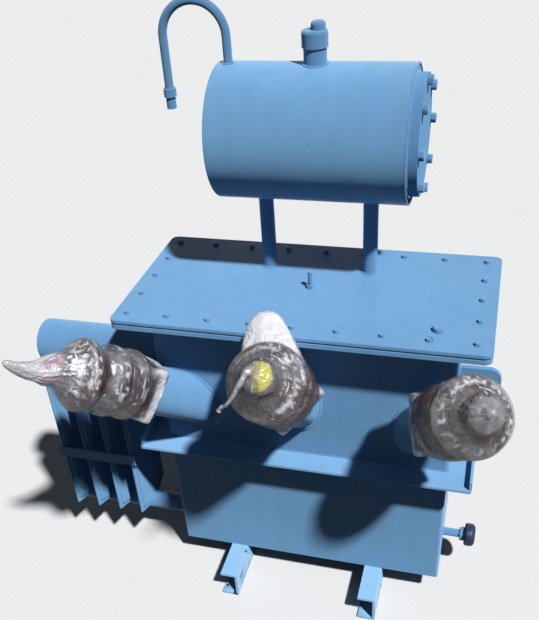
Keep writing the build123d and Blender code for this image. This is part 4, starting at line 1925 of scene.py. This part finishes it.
@dataclass
class Bushings:
    """The three high voltage bushings in their film, which ends in a cone, a disc or a dome."""

    finishes: Finishes
    cone: tuple[Station, ...] = (
        (196.0, 26.0, 0.0), (206.0, 20.5, 0.0), (214.0, 17.0, 0.0), (232.0, 13.0, 0.0), (250.0, 9.5, 0.0),
        (262.0, 7.5, 0.0), (267.0, 6.5, 0.0), (270.0, 4.5, 0.0), (271.5, 2.0, 0.0),
    )
    disc: tuple[Station, ...] = (
        (190.0, 28.6, 0.0), (198.0, 27.0, 0.0), (206.0, 20.0, 0.0), (210.5, 10.0, 0.0), (212.0, 2.0, 0.0),
    )
    dome: tuple[Station, ...] = (
        (188.0, 27.4, 0.0), (195.0, 22.5, 0.0), (201.0, 16.5, 0.0), (206.0, 12.0, 0.0), (213.0, 8.5, 0.0),
        (216.5, 4.0, 0.0), (217.5, 1.0, 0.0),
    )
    strand: Strand = Strand(
        (
            (-8.0, 6.0, 200.0), (-12.0, 3.0, 212.0), (-21.0, -16.0, 213.0), (-31.0, -35.0, 208.0),
            (-40.0, -46.0, 203.0), (-48.0, -50.0, 199.0), (-52.0, -56.0, 196.0),
        )
    )
    left_sag: tuple[Pair, ...] = ((185.0, 0.0), (205.0, 6.5), (225.0, 10.0), (245.0, 10.0), (270.0, 5.0))
    # The painted highlight arcs of each film: rise, half width and strength.
    left_highlight_bands: tuple[Station, ...] = (
        (33.0, 4.0, 0.6), (57.0, 4.0, 0.7), (76.0, 10.0, 1.0), (132.0, 5.0, 0.8), (158.0, 12.0, 0.9),
    )
    middle_highlight_bands: tuple[Station, ...] = ((134.0, 3.0, 0.7), (150.0, 6.0, 0.8), (168.0, 4.0, 0.5))
    right_highlight_bands: tuple[Station, ...] = ((132.0, 3.0, 0.7), (150.0, 7.0, 1.0), (172.0, 5.0, 0.5))

    def build(self) -> None:
        """Models the film of each bushing and the bolts of the flanges."""
        FilmWrap(
            Side.LEFT, self.finishes.pink_film, self.cone, seed=3.0, marked=CapSmudges().strength,
            sag=self.left_sag, highlight_bands=self.left_highlight_bands,
        ).build()
        FilmWrap(
            Side.MIDDLE, self.finishes.yellow_film, self.disc, seed=11.0, lobe=Lobe(),
            marked=FrontScrap().strength, strand=self.strand, haze_from=200 * MM, highlight_bands=self.middle_highlight_bands,
        ).build()
        FilmWrap(
            Side.RIGHT, self.finishes.film, self.dome, seed=23.0, twist=-6.0, haze_from=172 * MM,
            tail_haze=0.38, highlight_bands=self.right_highlight_bands,
        ).build()
        FlangeBolting(self.finishes).build()


# Small fittings


@dataclass
class DrainFitting:
    """The gland nut between the drain pipe and its knob."""

    finishes: Finishes
    flats: float = 26 * MM
    length: float = 9 * MM
    gap: float = 0.2 * MM
    chamfer: float = 1.6 * MM
    crown: float = 0.9 * MM
    edge: float = 0.5 * MM

    def build(self) -> None:
        """Models the hexagon with chamfered corners behind the knob."""
        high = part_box("drain_pipe")[1]
        centre = node_centre("drain_pipe")
        place = Vector((high.x - self.length / 2 - self.gap, centre.y, centre.z))
        radius = self.flats / math.sqrt(3)
        bpy.ops.mesh.primitive_cylinder_add(vertices=HEXAGON, radius=radius, depth=self.length)
        gland = added("drain_gland")
        gland.matrix_world = aim(place, TO_RIGHT)
        settle(gland)
        inset_faces(gland, lambda face: abs(face.normal.x) > PARALLEL, self.chamfer, self.crown)
        finish_with(gland, "BEVEL", width=self.edge, segments=2)
        dress(gland, self.finishes.bolt_paint)


# Stage, lamps and camera


@dataclass
class Stage:
    """A plain pale floor under a pale sky, one soft sun and a little light from all round."""

    floor_size: float = 60.0
    floor_colour: Colour = (0.86, 0.86, 0.86)
    floor_bounce: Colour = (0.04, 0.048, 0.06)
    sky_colour: Colour = (1.0, 1.0, 1.0)
    sky_strength: float = 0.95
    fill_colour: Colour = (0.74, 0.88, 1.0)
    sky_fill: float = 0.045
    sun_strength: float = 3.6
    sun_width: float = math.radians(3.0)
    sun_place: Triple = (1.5, -2.0, 3.0)
    sun_travel: Vector = field(default_factory=lambda: Vector((-0.432, 0.375, -0.820)))

    def seen_or_reflected(self, tree: bpy.types.NodeTree) -> Socket:
        """Tells the rays that see from those that light.

        Args:
            tree: The node tree that gets the nodes.

        Returns:
            The socket with 1 for camera, glossy and transmission rays, and 0 for others.
        """
        path = tree.nodes.new("ShaderNodeLightPath")
        total = path.outputs["Is Camera Ray"]
        for key in ("Is Glossy Ray", "Is Transmission Ray"):
            most = tree.nodes.new("ShaderNodeMath")
            most.operation = Operation.LARGER.value
            tree.links.new(total, most.inputs[0])
            tree.links.new(path.outputs[key], most.inputs[1])
            total = most.outputs["Value"]
        return total

    def shade(
        self, owner: Material | bpy.types.World, output: str, kind: str, lighting: dict[str, object],
        seen: dict[str, object]
    ) -> None:
        """Gives the floor or the sky one look where it is seen and another where it only lights.

        Args:
            owner: The floor's material or the world.
            output: The kind of its output node.
            kind: The kind of shader that it takes.
            lighting: The shader's inputs for the rays that light.
            seen: The shader's inputs for the rays that see.
        """
        owner.use_nodes = True
        tree = owner.node_tree
        tree.nodes.clear()
        end = tree.nodes.new(output)
        mix = tree.nodes.new("ShaderNodeMixShader")
        tree.links.new(self.seen_or_reflected(tree), mix.inputs["Fac"])
        for socket, look in ((mix.inputs[1], lighting), (mix.inputs[2], seen)):
            shader = tree.nodes.new(kind)
            for key, value in look.items():
                shader.inputs[key].default_value = value
            tree.links.new(shader.outputs[0], socket)
        tree.links.new(mix.outputs["Shader"], end.inputs["Surface"])

    def floor(self) -> None:
        """Lays the floor."""
        bpy.ops.mesh.primitive_plane_add(size=self.floor_size)
        floor = added("floor")
        material = bpy.data.materials.new("pale_floor")
        dim, pale = ({"Color": (*tone, 1.0)} for tone in (self.floor_bounce, self.floor_colour))
        self.shade(material, "ShaderNodeOutputMaterial", "ShaderNodeBsdfDiffuse", dim, pale)
        floor.data.materials.append(material)

    def sky(self) -> None:
        """Sets the world: pale where it is seen, dim where it only lights."""
        world = bpy.data.worlds.new("pale_sky")
        bpy.context.scene.world = world
        fill = {"Color": (*self.fill_colour, 1.0), "Strength": self.sky_fill}
        seen = {"Color": (*self.sky_colour, 1.0), "Strength": self.sky_strength}
        self.shade(world, "ShaderNodeOutputWorld", "ShaderNodeBackground", fill, seen)

    def sun(self) -> None:
        """Hangs the sun to the right of the camera, high above."""
        bpy.ops.object.light_add(type="SUN", location=self.sun_place)
        sun = bpy.context.object
        sun.name = "soft_sun"
        sun.data.energy = self.sun_strength
        sun.data.angle = self.sun_width
        sun.rotation_euler = self.sun_travel.to_track_quat("-Z", "Y").to_euler()

    def build(self) -> None:
        """Sets up the floor, the sky and the sun."""
        self.floor()
        self.sky()
        self.sun()
        bpy.context.scene.view_settings.view_transform = "Standard"


@dataclass
class PhotoCamera:
    """The camera as it stood: above and to the right of the front, tilted a little."""

    place: Vector = field(default_factory=lambda: Vector((0.3062, -1.2479, 1.3913)))
    turn_degrees: tuple[float, float, float] = (53.0814, 4.0360, 15.9314)
    focal_pixels: float = 803.8
    centre_pixel: tuple[float, float] = (255.9, 392.0)
    image_size: tuple[int, int] = (539, 620)

    def build(self) -> None:
        """Adds the camera and makes it the scene's own."""
        turns = [math.radians(turn) for turn in self.turn_degrees]
        bpy.ops.object.camera_add(location=self.place, rotation=turns)
        camera = bpy.context.object
        camera.name = "photo_camera"
        width, height = self.image_size
        longest = max(self.image_size)
        camera.data.lens = self.focal_pixels / longest * camera.data.sensor_width
        camera.data.shift_x = (width / 2 - self.centre_pixel[0]) / longest
        camera.data.shift_y = (self.centre_pixel[1] - height / 2) / longest
        bpy.context.scene.camera = camera


def main() -> None:
    """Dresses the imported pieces, then models the rest, the stage and the camera."""
    logging.basicConfig(level=logging.INFO, format="%(name)s %(message)s")
    finishes = Finishes()
    PackedPieces(finishes).dress_all()
    CoverBolting(finishes).build()
    EndCoverBolting(finishes).build()
    Welds(finishes).build()
    Bushings(finishes).build()
    DrainFitting(finishes).build()
    Stage().build()
    PhotoCamera().build()
    deselect()


if __name__ == "__main__":
    main()
